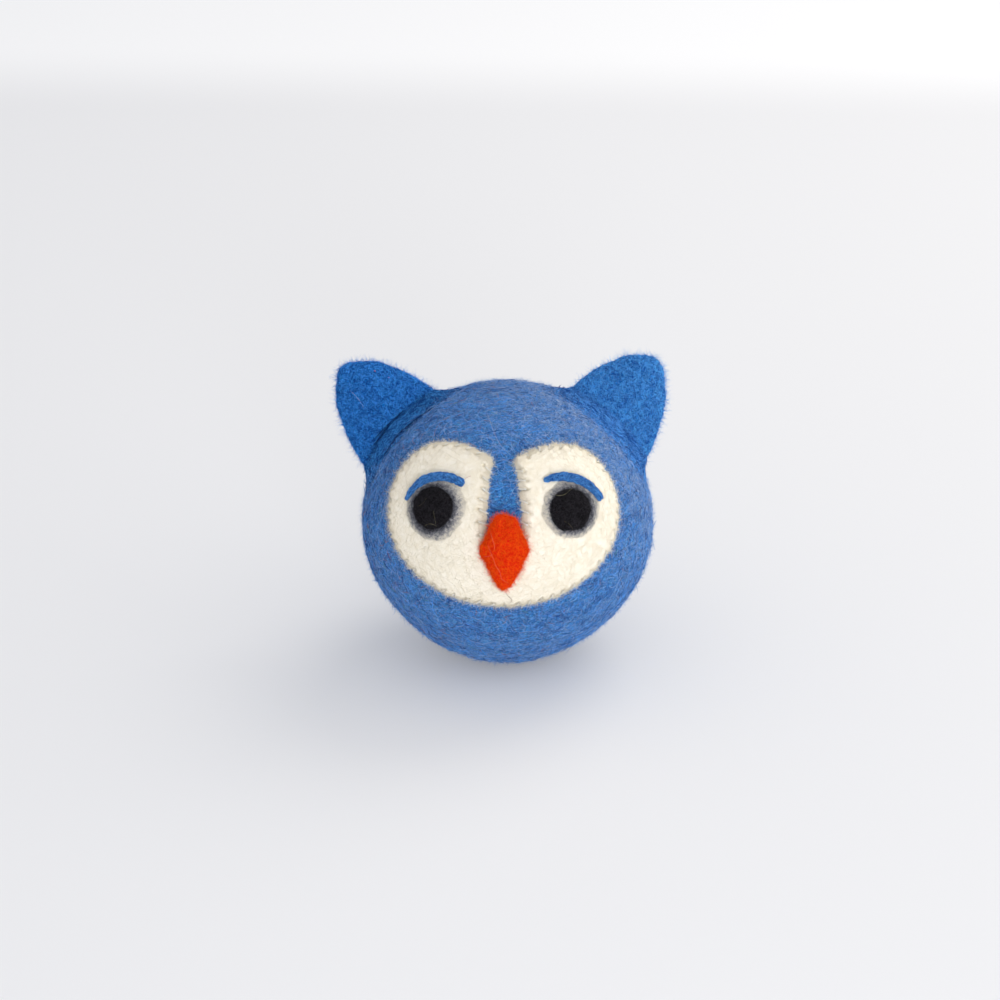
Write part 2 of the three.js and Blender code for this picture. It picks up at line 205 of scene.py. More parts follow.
def endMaterial(tree, inputs):
    shader = addNode(tree, "BsdfPrincipled", inputs)
    addNode(tree, "OutputMaterial", {"Surface": shader.outputs[0]})


# noise with clouds of a size in mm
def addNoise(tree, place, size, detail=2.0, roughness=0.5):
    return addNode(tree, "TexNoise", {
        "Vector": place, "Scale": 1 / (size * mm), "Detail": detail, "Roughness": roughness})


# noise drawn out one way, as hairs lie: size is along, across and through, in mm
def addStreaks(tree, place, turn, size, detail, roughness=0.5, shift=(0, 0, 0)):
    along = addNode(tree, "Mapping", {
        "Vector": place, "Location": shift, "Rotation": turn, "Scale": [s * mm for s in size]},
        vector_type="TEXTURE").outputs[0]
    return addNode(tree, "TexNoise", {
        "Vector": along, "Scale": 1, "Detail": detail, "Roughness": roughness}).outputs["Fac"]


def reckon(tree, operation, *values):
    return addNode(tree, "Math", dict(enumerate(values)), operation=operation).outputs[0]


def reckonVectors(tree, operation, inputs):
    return addNode(tree, "VectorMath", inputs, operation=operation).outputs


def rescale(tree, value, low, high, start=0, end=1, course="LINEAR"):
    return addNode(tree, "MapRange", {
        "Value": value, "From Min": low, "From Max": high, "To Min": start, "To Max": end},
        interpolation_type=course).outputs[0]


# from one colour to another; each is a code or the output that feeds it
def mixColours(tree, share, one, other):
    one, other = (linear(colour) if isinstance(colour, str) else colour for colour in (one, other))
    return addNode(tree, "Mix", {0: share, 6: one, 7: other}, data_type="RGBA").outputs[2]


def addBump(tree, height, strength, depth):
    return addNode(tree, "Bump", {"Height": height, "Strength": strength, "Distance": depth * mm}).outputs[0]


def readShare(tree, name):
    return addNode(tree, "Attribute", attribute_name=name).outputs["Fac"]


# what every kind of felt shares: where tones part, and how wool bends and spreads light
woolIor = 1.54
feltMakeUp = {
    "cloudFrom": 0.36, "cloudTo": 0.66, "hairEdge": 0.16, "grainFrom": 0.4, "grainTo": 0.56,
    "pitDeepest": 0.04, "fleckSize": (3.5, 0.4, 0.4), "fleckFrom": 0.76, "fleckTo": 0.82, "fleckShow": 0.6,
    "roughness": 0.92, "gloss": 0.1, "sheenRoughness": 0.4,
}


# Wool felt, from dyed fibres matted into each other: dull and soft, cloudy in colour where the dye and the
# fibres vary, with fine crossing hairs and a pale bloom at grazing angles where loose ends catch the light.
# A look may add flecks of other wool, and painted shade: a darker colour in the low gaps of a fine grain and
# in pits between the fibres, and painted shade with dirt where stitches pull the felt in.
def makeFelt(name, ownLook):
    look = {**feltMakeUp, **ownLook}
    material, tree, place = startMaterial(name)
    bend = addNoise(tree, place, look["bendSize"], 1).outputs["Color"]
    centred = reckonVectors(tree, "SUBTRACT", {0: bend, 1: (0.5, 0.5, 0.5)})[0]
    moved = reckonVectors(tree, "SCALE", {0: centred, "Scale": look["bend"] * mm})[0]
    curled = reckonVectors(tree, "ADD", {0: place, 1: moved})[0]

    hairs = None
    for turn in look["hairTurns"]:
        size = (look["hairLength"], look["hairWidth"], look["hairWidth"])
        streaks = addStreaks(tree, curled, turn, size, 1.5, 0.6)
        hairs = streaks if hairs is None else reckon(tree, "MAXIMUM", hairs, streaks)
    cloud = addNoise(tree, curled, look["cloudSize"], 4, 0.62).outputs["Fac"]
    cloudShare = rescale(tree, cloud, look["cloudFrom"], look["cloudTo"])
    hairTo = look["hairFrom"] + look["hairEdge"]
    hairShare = rescale(tree, hairs, look["hairFrom"], hairTo, 0, look["hairShow"])
    colour = mixColours(tree, cloudShare, look["dark"], look["main"])
    colour = mixColours(tree, hairShare, colour, look["pale"])
    height = reckon(tree, "ADD", hairShare, cloudShare)

    if "grainSize" in look:
        grain = addNoise(tree, curled, look["grainSize"], 2.5, 0.7).outputs["Fac"]
        # painted shade: the deep colour darkens the low gaps of a fine grain, where the bump is lowered too
        grainShadeShare = rescale(tree, grain, look["grainFrom"], look["grainTo"], look["grainShow"], 0)
        colour = mixColours(tree, grainShadeShare, colour, look["deep"])
        height = reckon(tree, "SUBTRACT", height, grainShadeShare)
    if "pitSize" in look:
        pits = addNode(tree, "TexVoronoi", {
            "Vector": curled, "Scale": 1 / (look["pitSize"] * mm), "Randomness": 1}).outputs["Distance"]
        # painted shade: the pit colour darkens the pits between the fibres, where the bump is lowered too
        pitShadeShare = rescale(tree, pits, look["pitWidth"], look["pitDeepest"], 0, look["pitShow"], "SMOOTHSTEP")
        colour = mixColours(tree, pitShadeShare, colour, look["pit"])
        height = reckon(tree, "SUBTRACT", height, pitShadeShare)
    if "hole" in look:
        # painted shade and dirt: the hole colour darkens the felt where the stitches pull it in
        colour = mixColours(tree, readShare(tree, "hole"), colour, look["hole"])
    for code, seed in look.get("flecks", []):
        turn, shift = (seed, seed * 2, seed * 3), (seed, seed / 3, 0)
        fleck = addStreaks(tree, curled, turn, look["fleckSize"], 0, shift=shift)
        fleckShare = rescale(tree, fleck, look["fleckFrom"], look["fleckTo"], 0, look["fleckShow"])
        colour = mixColours(tree, fleckShare, colour, code)

    endMaterial(tree, {
        "Base Color": colour, "Normal": addBump(tree, height, look["bumpShow"], look["bumpDepth"]),
        "Roughness": look["roughness"], "IOR": woolIor, "Specular IOR Level": look["gloss"],
        "Sheen Weight": look["sheen"], "Sheen Roughness": look["sheenRoughness"],
        "Sheen Tint": linear(look["bloom"])})
    return material


# Loose wool hairs, dyed in the lock: some shade drifts along the surface, and own is the share that each
# strand has to itself, so that single hairs stand out from their neighbours. A faint sheen catches light
# from behind.
def makeHair(name, dark, pale, size=1.2, spread=0.15, own=0.3, sheen=0.0):
    material, tree, place = startMaterial(name)
    drift = addNoise(tree, place, size).outputs["Fac"]
    shades = {0: own, 2: drift, 3: readShare(tree, "shade")}
    shade = addNode(tree, "Mix", shades, data_type="FLOAT").outputs[0]
    share = rescale(tree, shade, 0.5 - spread, 0.5 + spread)
    endMaterial(tree, {
        "Base Color": mixColours(tree, share, dark, pale), "Roughness": 0.75, "IOR": woolIor,
        "Specular IOR Level": 0.12, "Sheen Weight": sheen, "Sheen Roughness": 0.5,
        "Sheen Tint": linear("#e6f0ff")})
    return material


# Camera and light

camera = {"azimuth": 1.8, "elevation": 25.0, "distance": 700.0, "lens": 111.5, "sensor": 36,
          "left": 1.58, "up": 4.86, "pictureWidth": 1000}


# where the camera stands, and the ways right, up and ahead of it
def cameraAxes():
    azimuth, elevation = math.radians(camera["azimuth"]), math.radians(camera["elevation"])
    ahead = Vector((-math.sin(azimuth) * math.cos(elevation), math.cos(azimuth) * math.cos(elevation),
                    -math.sin(elevation)))
    right = Vector((math.cos(azimuth), math.sin(azimuth), 0))
    up = right.cross(ahead)
    middle = Vector(ballCentre * (1, 1, heightShare))
    place = middle - ahead * camera["distance"] - right * camera["left"] + up * camera["up"]
    return place, right, up, ahead


def addCamera():
    place, right, up, ahead = cameraAxes()
    data = bpy.data.cameras.new("camera")
    data.lens = camera["lens"]
    data.sensor_width = camera["sensor"]
    data.clip_start, data.clip_end = 0.05, 20
    eye = bpy.data.objects.new("camera", data)
    bpy.context.scene.collection.objects.link(eye)
    eye.location = place * mm
    eye.rotation_mode = "QUATERNION"
    eye.rotation_quaternion = ahead.to_track_quat("-Z", "Y")
    bpy.context.scene.camera = eye


# Each lamp: place and size in mm, power in watts, colour.
lamps = {
    "window_light": {"place": (420, 520, 700), "size": 700, "power": 2.7, "colour": "#fffaf0"},
    "front_light": {"place": (300, -650, 650), "size": 800, "power": 0.6, "colour": "#fffaf0"},
    "side_light": {"place": (760, -60, 250), "size": 1000, "power": 1.9, "colour": "#fffcf4"},
    "low_light": {"place": (150, -760, 140), "size": 300, "power": 2.6, "colour": "#f6f9ff"},
}
room = {"colour": "#f2f4fb", "strength": 0.68}


def addLamp(name, lamp, target=(0, 0, 30)):
    data = bpy.data.lights.new(name, "AREA")
    data.shape = "DISK"
    data.size = lamp["size"] * mm
    data.energy = lamp["power"]
    data.color = linear(lamp["colour"])[:3]
    placed = bpy.data.objects.new(name, data)
    bpy.context.scene.collection.objects.link(placed)
    placed.location = Vector(lamp["place"]) * mm
    placed.rotation_mode = "QUATERNION"
    placed.rotation_quaternion = (Vector(target) - Vector(lamp["place"])).to_track_quat("-Z", "Y")


def addRoom():
    for name, lamp in lamps.items():
        addLamp(name, lamp)
    world = bpy.data.worlds.new("room")
    bpy.context.scene.world = world
    world.use_nodes = True
    back = world.node_tree.nodes["Background"]
    back.inputs["Color"].default_value = linear(room["colour"])
    back.inputs["Strength"].default_value = room["strength"]
    bpy.context.scene.view_settings.view_transform = "Standard"


# Matt white card: an even pale grey, a little lighter past its far edge, as in the photo. The camera sees a
# share of its own light on top, which keeps the shadow as soft as the photo's.
table = {"colour": "#d6d6d7", "farColour": "#e8e8e8", "farFrom": 390, "farTo": 470, "grainSize": 0.6,
         "grainShow": 0.04, "grainDepth": 0.05, "reach": 2500, "glow": 0.2}


def addTable():
    material, tree, place = startMaterial("white card, matt")
    depth = addNode(tree, "SeparateXYZ", {0: place}).outputs["Y"]
    share = rescale(tree, depth, table["farFrom"] * mm, table["farTo"] * mm, course="SMOOTHSTEP")
    grain = addNoise(tree, place, table["grainSize"]).outputs["Fac"]
    seen = addNode(tree, "LightPath").outputs["Is Camera Ray"]
    endMaterial(tree, {
        "Base Color": mixColours(tree, share, table["colour"], table["farColour"]), "Roughness": 0.8,
        "IOR": 1.5, "Specular IOR Level": 0.2,
        "Normal": addBump(tree, grain, table["grainShow"], table["grainDepth"]),
        "Emission Color": (1, 1, 1, 1), "Emission Strength": reckon(tree, "MULTIPLY", seen, table["glow"])})
    reach = table["reach"] * mm
    mesh = bpy.data.meshes.new("table")
    mesh.from_pydata([(-reach, -reach, 0), (reach, -reach, 0), (reach, reach, 0), (-reach, reach, 0)], [],
                     [(0, 1, 2, 3)])
    mesh.materials.append(material)
    floor = bpy.data.objects.new("table", mesh)
    bpy.context.scene.collection.objects.link(floor)


addCamera()
addRoom()
addTable()
print("camera, light and table set")


# Wool fibres laid on a surface

# every outer surface, with a tree that finds the nearest place on it
surfaces = []


def makeSurface(points, faces):
    triangles = trianglesOf(faces)
    surface = {"points": points, "triangles": triangles,
               "tree": BVHTree.FromPolygons(points.tolist(), triangles.tolist())}
    surfaces.append(surface)
    return surface


# how a fibre stands: the depth that its foot is in, how far one that lies down again rises in its middle, how
# late a loose one rises, the least and most lift as shares of the usual one, and how its turns change
strand = {"rest": 0.03, "arch": 0.35, "lateRise": 1.4, "leastLift": 0.3, "mostLift": 4, "turnSpread": 0.8,
          "thickness": (0.7, 1.3), "taper": ([0, 0.15, 0.7, 1], [0.6, 1, 0.9, 0.25])}


# Samples starts on a surface and lets each fibre wander over it. look: count, length (from, to), width,
# lift (usual height of the loose end), steps, curl (degrees turned over its length), lying (share that goes
# back into the wool), and where needed rest and lowest (the least height above the table). where weighs the
# places, flow gives a main direction and how strictly it holds.
def growFibres(name, surface, look, material, seed, where=None, flow=None):
    points, triangles, tree = surface["points"], surface["triangles"], surface["tree"]
    random = np.random.default_rng(seed)
    a, b, c = (points[triangles[:, i]] for i in range(3))
    cross = np.cross(b - a, c - a)
    weight = np.linalg.norm(cross, axis=1)
    if where:
        weight = weight * where((a + b + c) / 3, unit(cross))
    count, steps = look["count"], look["steps"]
    picked = random.choice(len(weight), count, p=weight / weight.sum())
    u, v = random.random((2, count, 1))
    over = u + v > 1
    u, v = np.where(over, 1 - u, u), np.where(over, 1 - v, v)
    spots = a[picked] + u * (b - a)[picked] + v * (c - a)[picked]
    normals = unit(cross[picked])

    heading = random.normal(size=(count, 3))
    if flow:
        way, hold = flow(spots, normals)
        sign = np.where(random.random(count) < 0.5, -1, 1)[:, None]
        heading = unit(heading) + way * sign * hold[:, None]
    heading = unit(heading - normals * (heading * normals).sum(1, keepdims=True))

    length = random.uniform(*look["length"], count)
    curl = np.radians(look["curl"]) * random.normal(size=count)
    lying = random.random(count) < look["lying"]
    lift = look["lift"] * random.exponential(size=count) + look["lift"] * strand["leastLift"]
    lift = np.minimum(lift, look["lift"] * strand["mostLift"])
    rest = look.get("rest", strand["rest"])
    paths = np.zeros((count, steps + 1, 3))
    ups = np.zeros((count, steps + 1, 3))
    for k in range(steps + 1):
        share = k / steps
        arch = rest * 2 + strand["arch"] * lift * math.sin(share * math.pi)
        height = np.where(lying, arch, lift * share ** strand["lateRise"]) - rest
        paths[:, k] = spots + normals * height[:, None]
        ups[:, k] = normals
        if k == steps:
            break
        turn = (curl + np.radians(look["curl"]) * strand["turnSpread"] * random.normal(size=count)) / steps
        sideways = np.cross(normals, heading)
        heading = heading * np.cos(turn)[:, None] + sideways * np.sin(turn)[:, None]
        spots = spots + heading * (length / steps)[:, None]
        found = [tree.find_nearest(p) for p in spots.tolist()]
        spots = np.array([f[0] for f in found])
        normals = np.array([f[1] for f in found])
        heading = unit(heading - normals * (heading * normals).sum(1, keepdims=True))
    if "lowest" in look:
        paths[:, :, 2] = np.maximum(paths[:, :, 2], look["lowest"])
    taper = np.interp(np.linspace(0, 1, steps + 1), *strand["taper"])
    radii = look["width"] / 2 * taper[None] * random.uniform(*strand["thickness"], count)[:, None]
    return addStrands(name, paths, radii, ups, material)


def addStrands(name, paths, radii, ups, material, sides=3):
    points, faces = tubesAlong(paths, radii, ups, sides)
    piece = addMesh(name, points, faces, material)
    mapStrands(piece, len(paths), paths.shape[1] - 1, sides)
    shades = np.random.default_rng(len(paths)).random(len(paths))
    keepValues(piece, "shade", np.repeat(shades, paths.shape[1] * sides))
    return piece


# each strand gets its own small cell of the map that patterns are kept in
def mapStrands(piece, count, steps, sides):
    side = math.ceil(math.sqrt(count))
    i, k, j = np.meshgrid(np.arange(count), np.arange(steps), np.arange(sides), indexing="ij")
    corner = []
    for dk, dj in ((0, 0), (0, 1), (1, 1), (1, 0)):
        u = (i % side + 0.08 + 0.84 * (k + dk) / steps) / side
        v = (i // side + 0.08 + 0.84 * (j + dj) / sides) / side
        corner.append(np.stack([u, v], -1))
    cells = np.stack(corner, -2).reshape(-1, 2)
    layer = piece.data.uv_layers.new(name="OFBake")
    if len(layer.uv) == len(cells):
        layer.uv.foreach_set("vector", cells.astype(np.float32).ravel())


# Wool core: undyed wool wound up, inside the skin

core = {"radius": 26.1, "ridgeSize": 4.0, "ridgeHeight": 0.12}
coreFelt = {
    "dark": "#d9cfba", "main": "#e9e2d3", "pale": "#f6f1e6", "bloom": "#fffaf0", "sheen": 0.2,
    "bendSize": 6, "bend": 3, "hairLength": 9, "hairWidth": 0.4, "hairFrom": 0.56, "hairShow": 0.6,
    "hairTurns": [(0.2, 0.4, 0.1), (1.3, 0.2, 0.9)], "cloudSize": 4, "bumpShow": 0.6, "bumpDepth": 0.2,
}


def roundBall(radius, subdivisions):
    shape = bmesh.new()
    bmesh.ops.create_icosphere(shape, subdivisions=subdivisions, radius=radius)
    points = np.array([v.co[:] for v in shape.verts])
    faces = np.array([[v.index for v in f.verts] for f in shape.faces])
    shape.free()
    return points, faces


def addWoolCore():
    points, faces = roundBall(core["radius"] - 2 * core["ridgeHeight"], 5)
    points = roughen(points, faces, [(core["ridgeSize"], core["ridgeHeight"], 1.3)])
    material = makeFelt("undyed wool, carded and wound", coreFelt)
    piece = addMesh("wool_core_ball", points + ballCentre, faces, material)
    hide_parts("wool_core")


addWoolCore()
print("wool core made")


# Ears: two needle felted blades, in mm from the middle of the ball

ears = {
    "left": {"side": -1, "rise": 41.0, "lean": 2.0, "height": 19.0, "crease": 1.0, "seed": 21},
    "right": {"side": 1, "rise": 45.5, "lean": 2.6, "height": 17.7, "crease": 0.3, "seed": 31},
}
ear = {
    "halfWidth": 11.5, "thickness": 8.4, "tipThickness": 5.6, "tipRound": 4.4, "forward": 5.0,
    "outline": [(1.03, -0.2), (1, 0), (0.94, 0.2), (0.84, 0.4), (0.69, 0.6), (0.48, 0.8), (0, 1)],
    "rings": 110, "sides": 170,
    "waves": [(6.0, 0.28, 0.37), (1.2, 0.08, 0.73)],        # size, height and seed
    "creaseAt": 4.5, "creaseWidth": 0.55, "creaseDepth": 0.5,
}
earFoot = np.array([ball["radius"] * math.asin(ear["halfWidth"] / ball["radius"]), ear["thickness"] / 2])


def earTurn(way):
    outward = Euler((0, way["side"] * math.radians(90 - way["rise"]), 0)).to_matrix()
    return np.array(outward @ Euler((math.radians(ear["forward"]), 0, 0)).to_matrix())


def onEar(way, x, y, z):
    return fromHead(np.stack([x, y, z], -1) @ earTurn(way).T)


# how far the ball's surface is pressed in along the outer crease in front of an ear
def creaseAround(way, directions):
    local = directions @ headTurn @ earTurn(way)
    flat = unit(local[:, :2]) * (ball["radius"] * np.arccos(np.clip(local[:, 2], -1, 1)))[:, None]
    share = np.maximum(1e-6, np.hypot(*(flat / earFoot).T))
    out = (share - 1) * share / np.hypot(*(flat / earFoot ** 2).T)
    front = np.clip(-flat[:, 1] / earFoot[1], 0, 1)
    groove = np.exp(-((out - ear["creaseAt"]) / ear["creaseWidth"]) ** 2)
    return -way["crease"] * front * ear["creaseDepth"] * groove


# Ball skin: blue wool, wet felted

ballFelt = {
    "dark": "#1c64b5", "main": "#3086d6", "pale": "#76ceff", "bloom": "#a4cdfa", "sheen": 0.8,
    "bendSize": 2.6, "bend": 1.8, "hairLength": 2.2, "hairWidth": 0.24, "hairFrom": 0.55, "hairShow": 0.85,
    "hairTurns": [(0, 0.1, 0.15), (0.3, 0.9, 0.4), (1.0, 0.5, 1.5), (0.5, 1.2, 2.3)],
    "cloudSize": 2.2, "bumpShow": 0.8, "bumpDepth": 0.12,
    # deep: painted shade in the low gaps of the grain
    "grainSize": 0.5, "grainShow": 0.75, "deep": "#163f78",
}
ballLocks = {"count": 6250, "steps": 5, "length": (1.6, 4.6), "width": 0.17, "lift": 0.34, "curl": 75,
             "lying": 0.92, "lowest": 0.1}
ballFibres = {"count": 3500, "steps": 6, "length": (2.0, 6.0), "width": 0.07, "lift": 0.5, "curl": 80,
              "lying": 0.85, "lowest": 0.08}
ballFuzz = {"count": 15500, "steps": 2, "length": (0.7, 2.0), "width": 0.05, "lift": 0.36, "curl": 50,
            "lying": 0.0, "lowest": 0.08}
ballPaintedLightFuzz = {"count": 16000, "steps": 2, "length": (0.8, 2.6), "width": 0.05, "lift": 0.36, "curl": 60,
                "lying": 0.3}
ballPale = {"count": 420, "steps": 8, "length": (3, 9), "width": 0.05, "lift": 0.25, "curl": 90,
            "lying": 0.75, "lowest": 0.08}
ballStray = {"steps": 6, "length": (1.0, 3.5), "width": 0.09, "lift": 0.4, "curl": 80,
             "lying": 0.9, "lowest": 0.08}


# fibres run level over the forehead and the crown, where the last wool was wound on, and anyhow elsewhere
def ballFlow(spots, normals):
    level = unit(np.cross(normals, np.array([0.0, 0.25, 1.0])))
    high = np.clip((spots[:, 2] - 32) / 20, 0, 1)
    return level, 0.4 + 1.6 * high


def addBallSkin():
    outer, outerFaces = roundBall(1, 7)
    radius = ball["radius"] + lumps(outer)
    for way in ears.values():
        radius = radius + creaseAround(way, outer)
    points = outer * radius[:, None]
    wool = ball["woolHeight"] * noiseAt(points, ball["woolSize"], 8.1)
    points = points + outer * wool[:, None] + ballCentre
    easing = ball["easing"]
    low = points[:, 2] < easing
    points[low, 2] = np.maximum(0.01, easing * np.exp((points[low, 2] - easing) / easing))
    inner, innerFaces = roundBall(ball["radius"] - ball["skin"], 5)
    inner = inner + ballCentre
    allPoints = np.concatenate([points, inner])
    allFaces = np.concatenate([outerFaces, innerFaces[:, ::-1] + len(points)])
    material = makeFelt("wool felt, blue, wet felted", ballFelt)
    piece = addMesh("ball_felt_skin", allPoints, allFaces, material)
    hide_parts("ball_skin")
    surface = makeSurface(points, outerFaces)
    lockHair = makeHair("wool locks, blue", "#084e9c", "#58aaf6", 0.8, 0.2, 0.7, 0.35)
    fineHair = makeHair("wool hair, blue", "#3474c0", "#b6d8ff", 0.6, 0.3, 0.75, 0.3)
    fuzzHair = makeHair("wool fuzz, blue", "#1c6cc0", "#66b0f6", 0.8, 0.25, 0.5, 0.55)
    for kind, look, hair, parts, seed in (
            ("locks", ballLocks, lockHair, 2, 10), ("fibres", ballFibres, fineHair, 2, 30),
            ("fuzz", ballFuzz, fuzzHair, 4, 200)):
        for part in range(parts):
            growFibres(f"ball_{kind}_{part + 1}", surface, look, hair, seed + part,
                       flow=ballFlow)
    # painted light: paler fuzz, grown thickest where the ball faces the window lamp, on the crown and the
    # right side
    towardWindow = lambda at, normal: np.clip(normal @ np.array([0.66, 0.1, 0.74]) - 0.25, 0.01, 1) ** 2
    paleHair = makeHair("wool fuzz, pale blue, painted light from the window", "#6ea6e4", "#cfe2f8", sheen=0.5)
    growFibres("ball_painted_light_fuzz", surface, ballPaintedLightFuzz, paleHair, 17, where=towardWindow,
               flow=ballFlow)
    growFibres("ball_pale_fibres", surface, ballPale, makeHair("wool hair, undyed", "#8fa9cc", "#cdd6e2"), 13,
               flow=ballFlow)
    leftward = lambda at, normal: np.clip(0.55 - at[:, 0] / 40, 0.1, 1)
    for label, dark, pale, count, seed in (("violet", "#464b9a", "#7472bc", 600, 14),
                                           ("teal", "#2c7f86", "#6fb0a8", 260, 15),
                                           ("rust", "#8d5560", "#c98b86", 330, 16)):
        growFibres(f"ball_{label}_fibres", surface, dict(ballStray, count=count),
                   makeHair(f"wool hair, {label}", dark, pale), seed, where=leftward)


addBallSkin()
print("ball skin made")


# The blades themselves
earFelt = {
    "dark": "#0064bc", "main": "#028aee", "pale": "#44c0ff", "bloom": "#7fbdf8", "sheen": 0.4,
    "bendSize": 1.8, "bend": 1.6, "hairLength": 1.6, "hairWidth": 0.17, "hairFrom": 0.56, "hairShow": 0.6,
    "hairTurns": [(0, 0.1, 0.15), (0.3, 0.9, 0.9), (1.0, 0.5, 1.9), (0.4, 1.3, 2.6)],
    "cloudSize": 2.4, "bumpShow": 0.8, "bumpDepth": 0.14,
    # pit and deep: painted shade in the pits and the low gaps of the grain
    "pitSize": 0.8, "pitWidth": 0.46, "pitShow": 0.6, "pit": "#0b4390",
    "grainSize": 0.42, "grainShow": 0.55, "deep": "#0e4a94",
    "flecks": [("#1f8a86", 0.4)],
}
earFibres = {"count": 8200, "steps": 4, "length": (0.8, 2.6), "width": 0.15, "lift": 0.24, "curl": 110,
             "lying": 0.85}
earFuzz = {"count": 13000, "steps": 2, "length": (0.7, 2.0), "width": 0.045, "lift": 0.55, "curl": 50,
           "lying": 0.0}


# a smooth curve through points, evenly spaced by shares of its knots
def curveThrough(points, shares):
    points = np.array(points, float)
    last = len(points) - 1
    at = np.clip(np.asarray(shares), 0, 1) * last
    i = np.minimum(at.astype(int), last - 1)
    t = (at - i)[:, None]
    p0, p1, p2, p3 = (points[np.clip(i + k, 0, last)] for k in (-1, 0, 1, 2))
    v0, v1 = (p2 - p0) / 2, (p3 - p1) / 2
    return (2 * p1 - 2 * p2 + v0 + v1) * t ** 3 + (-3 * p1 + 3 * p2 - 2 * v0 - v1) * t ** 2 + v0 * t + p1


def earBlade(way):
    half = [(w * ear["halfWidth"], h * way["height"]) for w, h in ear["outline"]]
    whole = half + [(-x, y) for x, y in half[:-1][::-1]]
    profile = curveThrough(whole, np.linspace(0, 0.5, ear["rings"]))
    profile[-1, 0] = 0.02
    rise = np.maximum(0, profile[:, 1] / way["height"])
    taper = (ear["thickness"] + (ear["tipThickness"] - ear["thickness"]) * rise) / 2
    closing = 1 - np.minimum(1, profile[:, 0] / ear["tipRound"])
    thick = taper * np.sqrt(np.maximum(1e-5, 1 - closing ** 2))
    turn = np.arange(ear["sides"]) / ear["sides"] * 2 * np.pi
    shift = -way["side"] * way["lean"] * rise
    x = shift[:, None] + profile[:, :1] * np.cos(turn)
    y = thick[:, None] * np.sin(turn)
    z = (ball["radius"] + profile[:, 1])[:, None] + 0 * turn
    points = onEar(way, x.ravel(), y.ravel(), z.ravel())
    return points, gridFaces(ear["rings"], ear["sides"], closed=True)


def addEar(label, way):
    points, faces = earBlade(way)
    points = roughen(points, faces, ear["waves"], way["seed"])
    piece = addMesh(f"ear_{label}_felt", points, faces, earMaterial[label])
    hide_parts(f"ear_{label}")
    surface = makeSurface(points, faces)
    outside = lambda at, normal: 1.0 * (fromCentre(at) > ball["radius"] + 0.6)
    for kind, look, hair, seed in (("fibres", earFibres, earHair[label], way["seed"]),
                                   ("fuzz", earFuzz, earFuzzHair[label], way["seed"] + 1)):
        growFibres(f"ear_{label}_{kind}", surface, look, hair, seed, where=outside)
    addCollar(label, way)


# The band of wool that felts an ear to the ball: a hollow fillet, high against the ear and thin outside,
# broad in front and behind and narrow at the ear's two sides. In front of the left ear two creases cross it.
collar = {
    "spread": [-0.9, -0.3, 0.2, 0.8, 1.6, 2.4, 3.2, 4.0, 4.8, 5.6, 6.4],
    "narrow": [2.0, 1.65, 1.3, 0.85, 0.48, 0.22, 0.02, -0.2, -0.4, -0.6, -0.8],
    "broad": [3.1, 2.75, 2.4, 1.95, 1.45, 1.02, 0.68, 0.4, 0.18, 0.0, -0.2],
    "creased": [2.6, 1.7, 1.35, 2.1, 2.2, 1.9, 1.35, 0.75, 0.0, -0.5, -0.8],
    "steps": 260, "rows": 64,
    "waves": [(3.0, 0.12, 0.5), (1.0, 0.08, 0.9)],
}


def addCollar(label, way):
    steps = collar["steps"]
    turn = np.arange(steps) / steps * 2 * np.pi
    foot = earFoot * np.stack([np.cos(turn), np.sin(turn)], 1)
    away = unit(earFoot[::-1] * np.stack([np.cos(turn), np.sin(turn)], 1))
    broad = np.abs(np.sin(turn)) ** 0.8
    creased = way["crease"] * np.clip(-np.sin(turn) * 1.5, 0, 1)
    share = np.linspace(0, 1, collar["rows"])
    spread = curveThrough(list(zip(collar["spread"], collar["broad"])), share)[:, 0]
    narrowRise, broadRise, creasedRise = (
        curveThrough(list(zip(collar["spread"], collar[kind])), share)[:, 1:]
        for kind in ("narrow", "broad", "creased"))
    height = narrowRise * (1 - broad) + broad * (broadRise * (1 - creased) + creasedRise * creased)
    x = foot[:, 0] + away[:, 0] * spread[:, None]
    y = foot[:, 1] + away[:, 1] * spread[:, None]
    reach = np.hypot(x, y)
    angle = reach / ball["radius"]
    across = np.sin(angle) / reach
    directions = onEar(way, *np.stack([x * across, y * across, np.cos(angle)]).reshape(3, -1)) - ballCentre
    points = ballCentre + directions * (ball["radius"] + lumps(directions) + height.ravel())[:, None]
    faces = gridFaces(len(spread), steps, closed=True)[:, ::-1]
    points = roughen(points, faces, collar["waves"], way["seed"])
    piece = addMesh(f"ear_collar_{label}_wool", points, faces, collarMaterial[label])
    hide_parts(f"ear_collar_{label}")

    def aroundEar(spots, normals):
        axis = onEar(way, np.zeros(1), np.zeros(1), np.ones(1))[0] - ballCentre
        return unit(np.cross(normals, axis)), np.full(len(spots), 2.5)

    thin = lambda at, normal: np.clip(ball["radius"] + 0.8 - fromCentre(at), 0, 1)
    surface = makeSurface(points, faces)
    for kind, look, hair, seed, where in (
            ("fibres", collarFibres, collarHair[label], way["seed"] + 2, None),
            ("edge", collarEdge, collarEdgeHair, way["seed"] + 3, thin)):
        growFibres(f"ear_collar_{label}_{kind}", surface, look, hair, seed, where, aroundEar)


# painted shade: the left collar's felt and hair are darker copies, as less light falls on that side
collarFelt = {"left": dict(ballFelt, dark="#0a4c94", main="#1466b4", pale="#469ce2", sheen=0.3),
              "right": dict(ballFelt, dark="#1262b4", main="#1c80da", pale="#58baff", sheen=0.5)}
collarFibres = {"count": 5000, "steps": 4, "length": (1.5, 4.2), "width": 0.14, "lift": 0.3, "curl": 55,
                "lying": 0.85}
collarEdge = dict(collarFibres, count=2200, width=0.16, curl=75, lying=0.9)
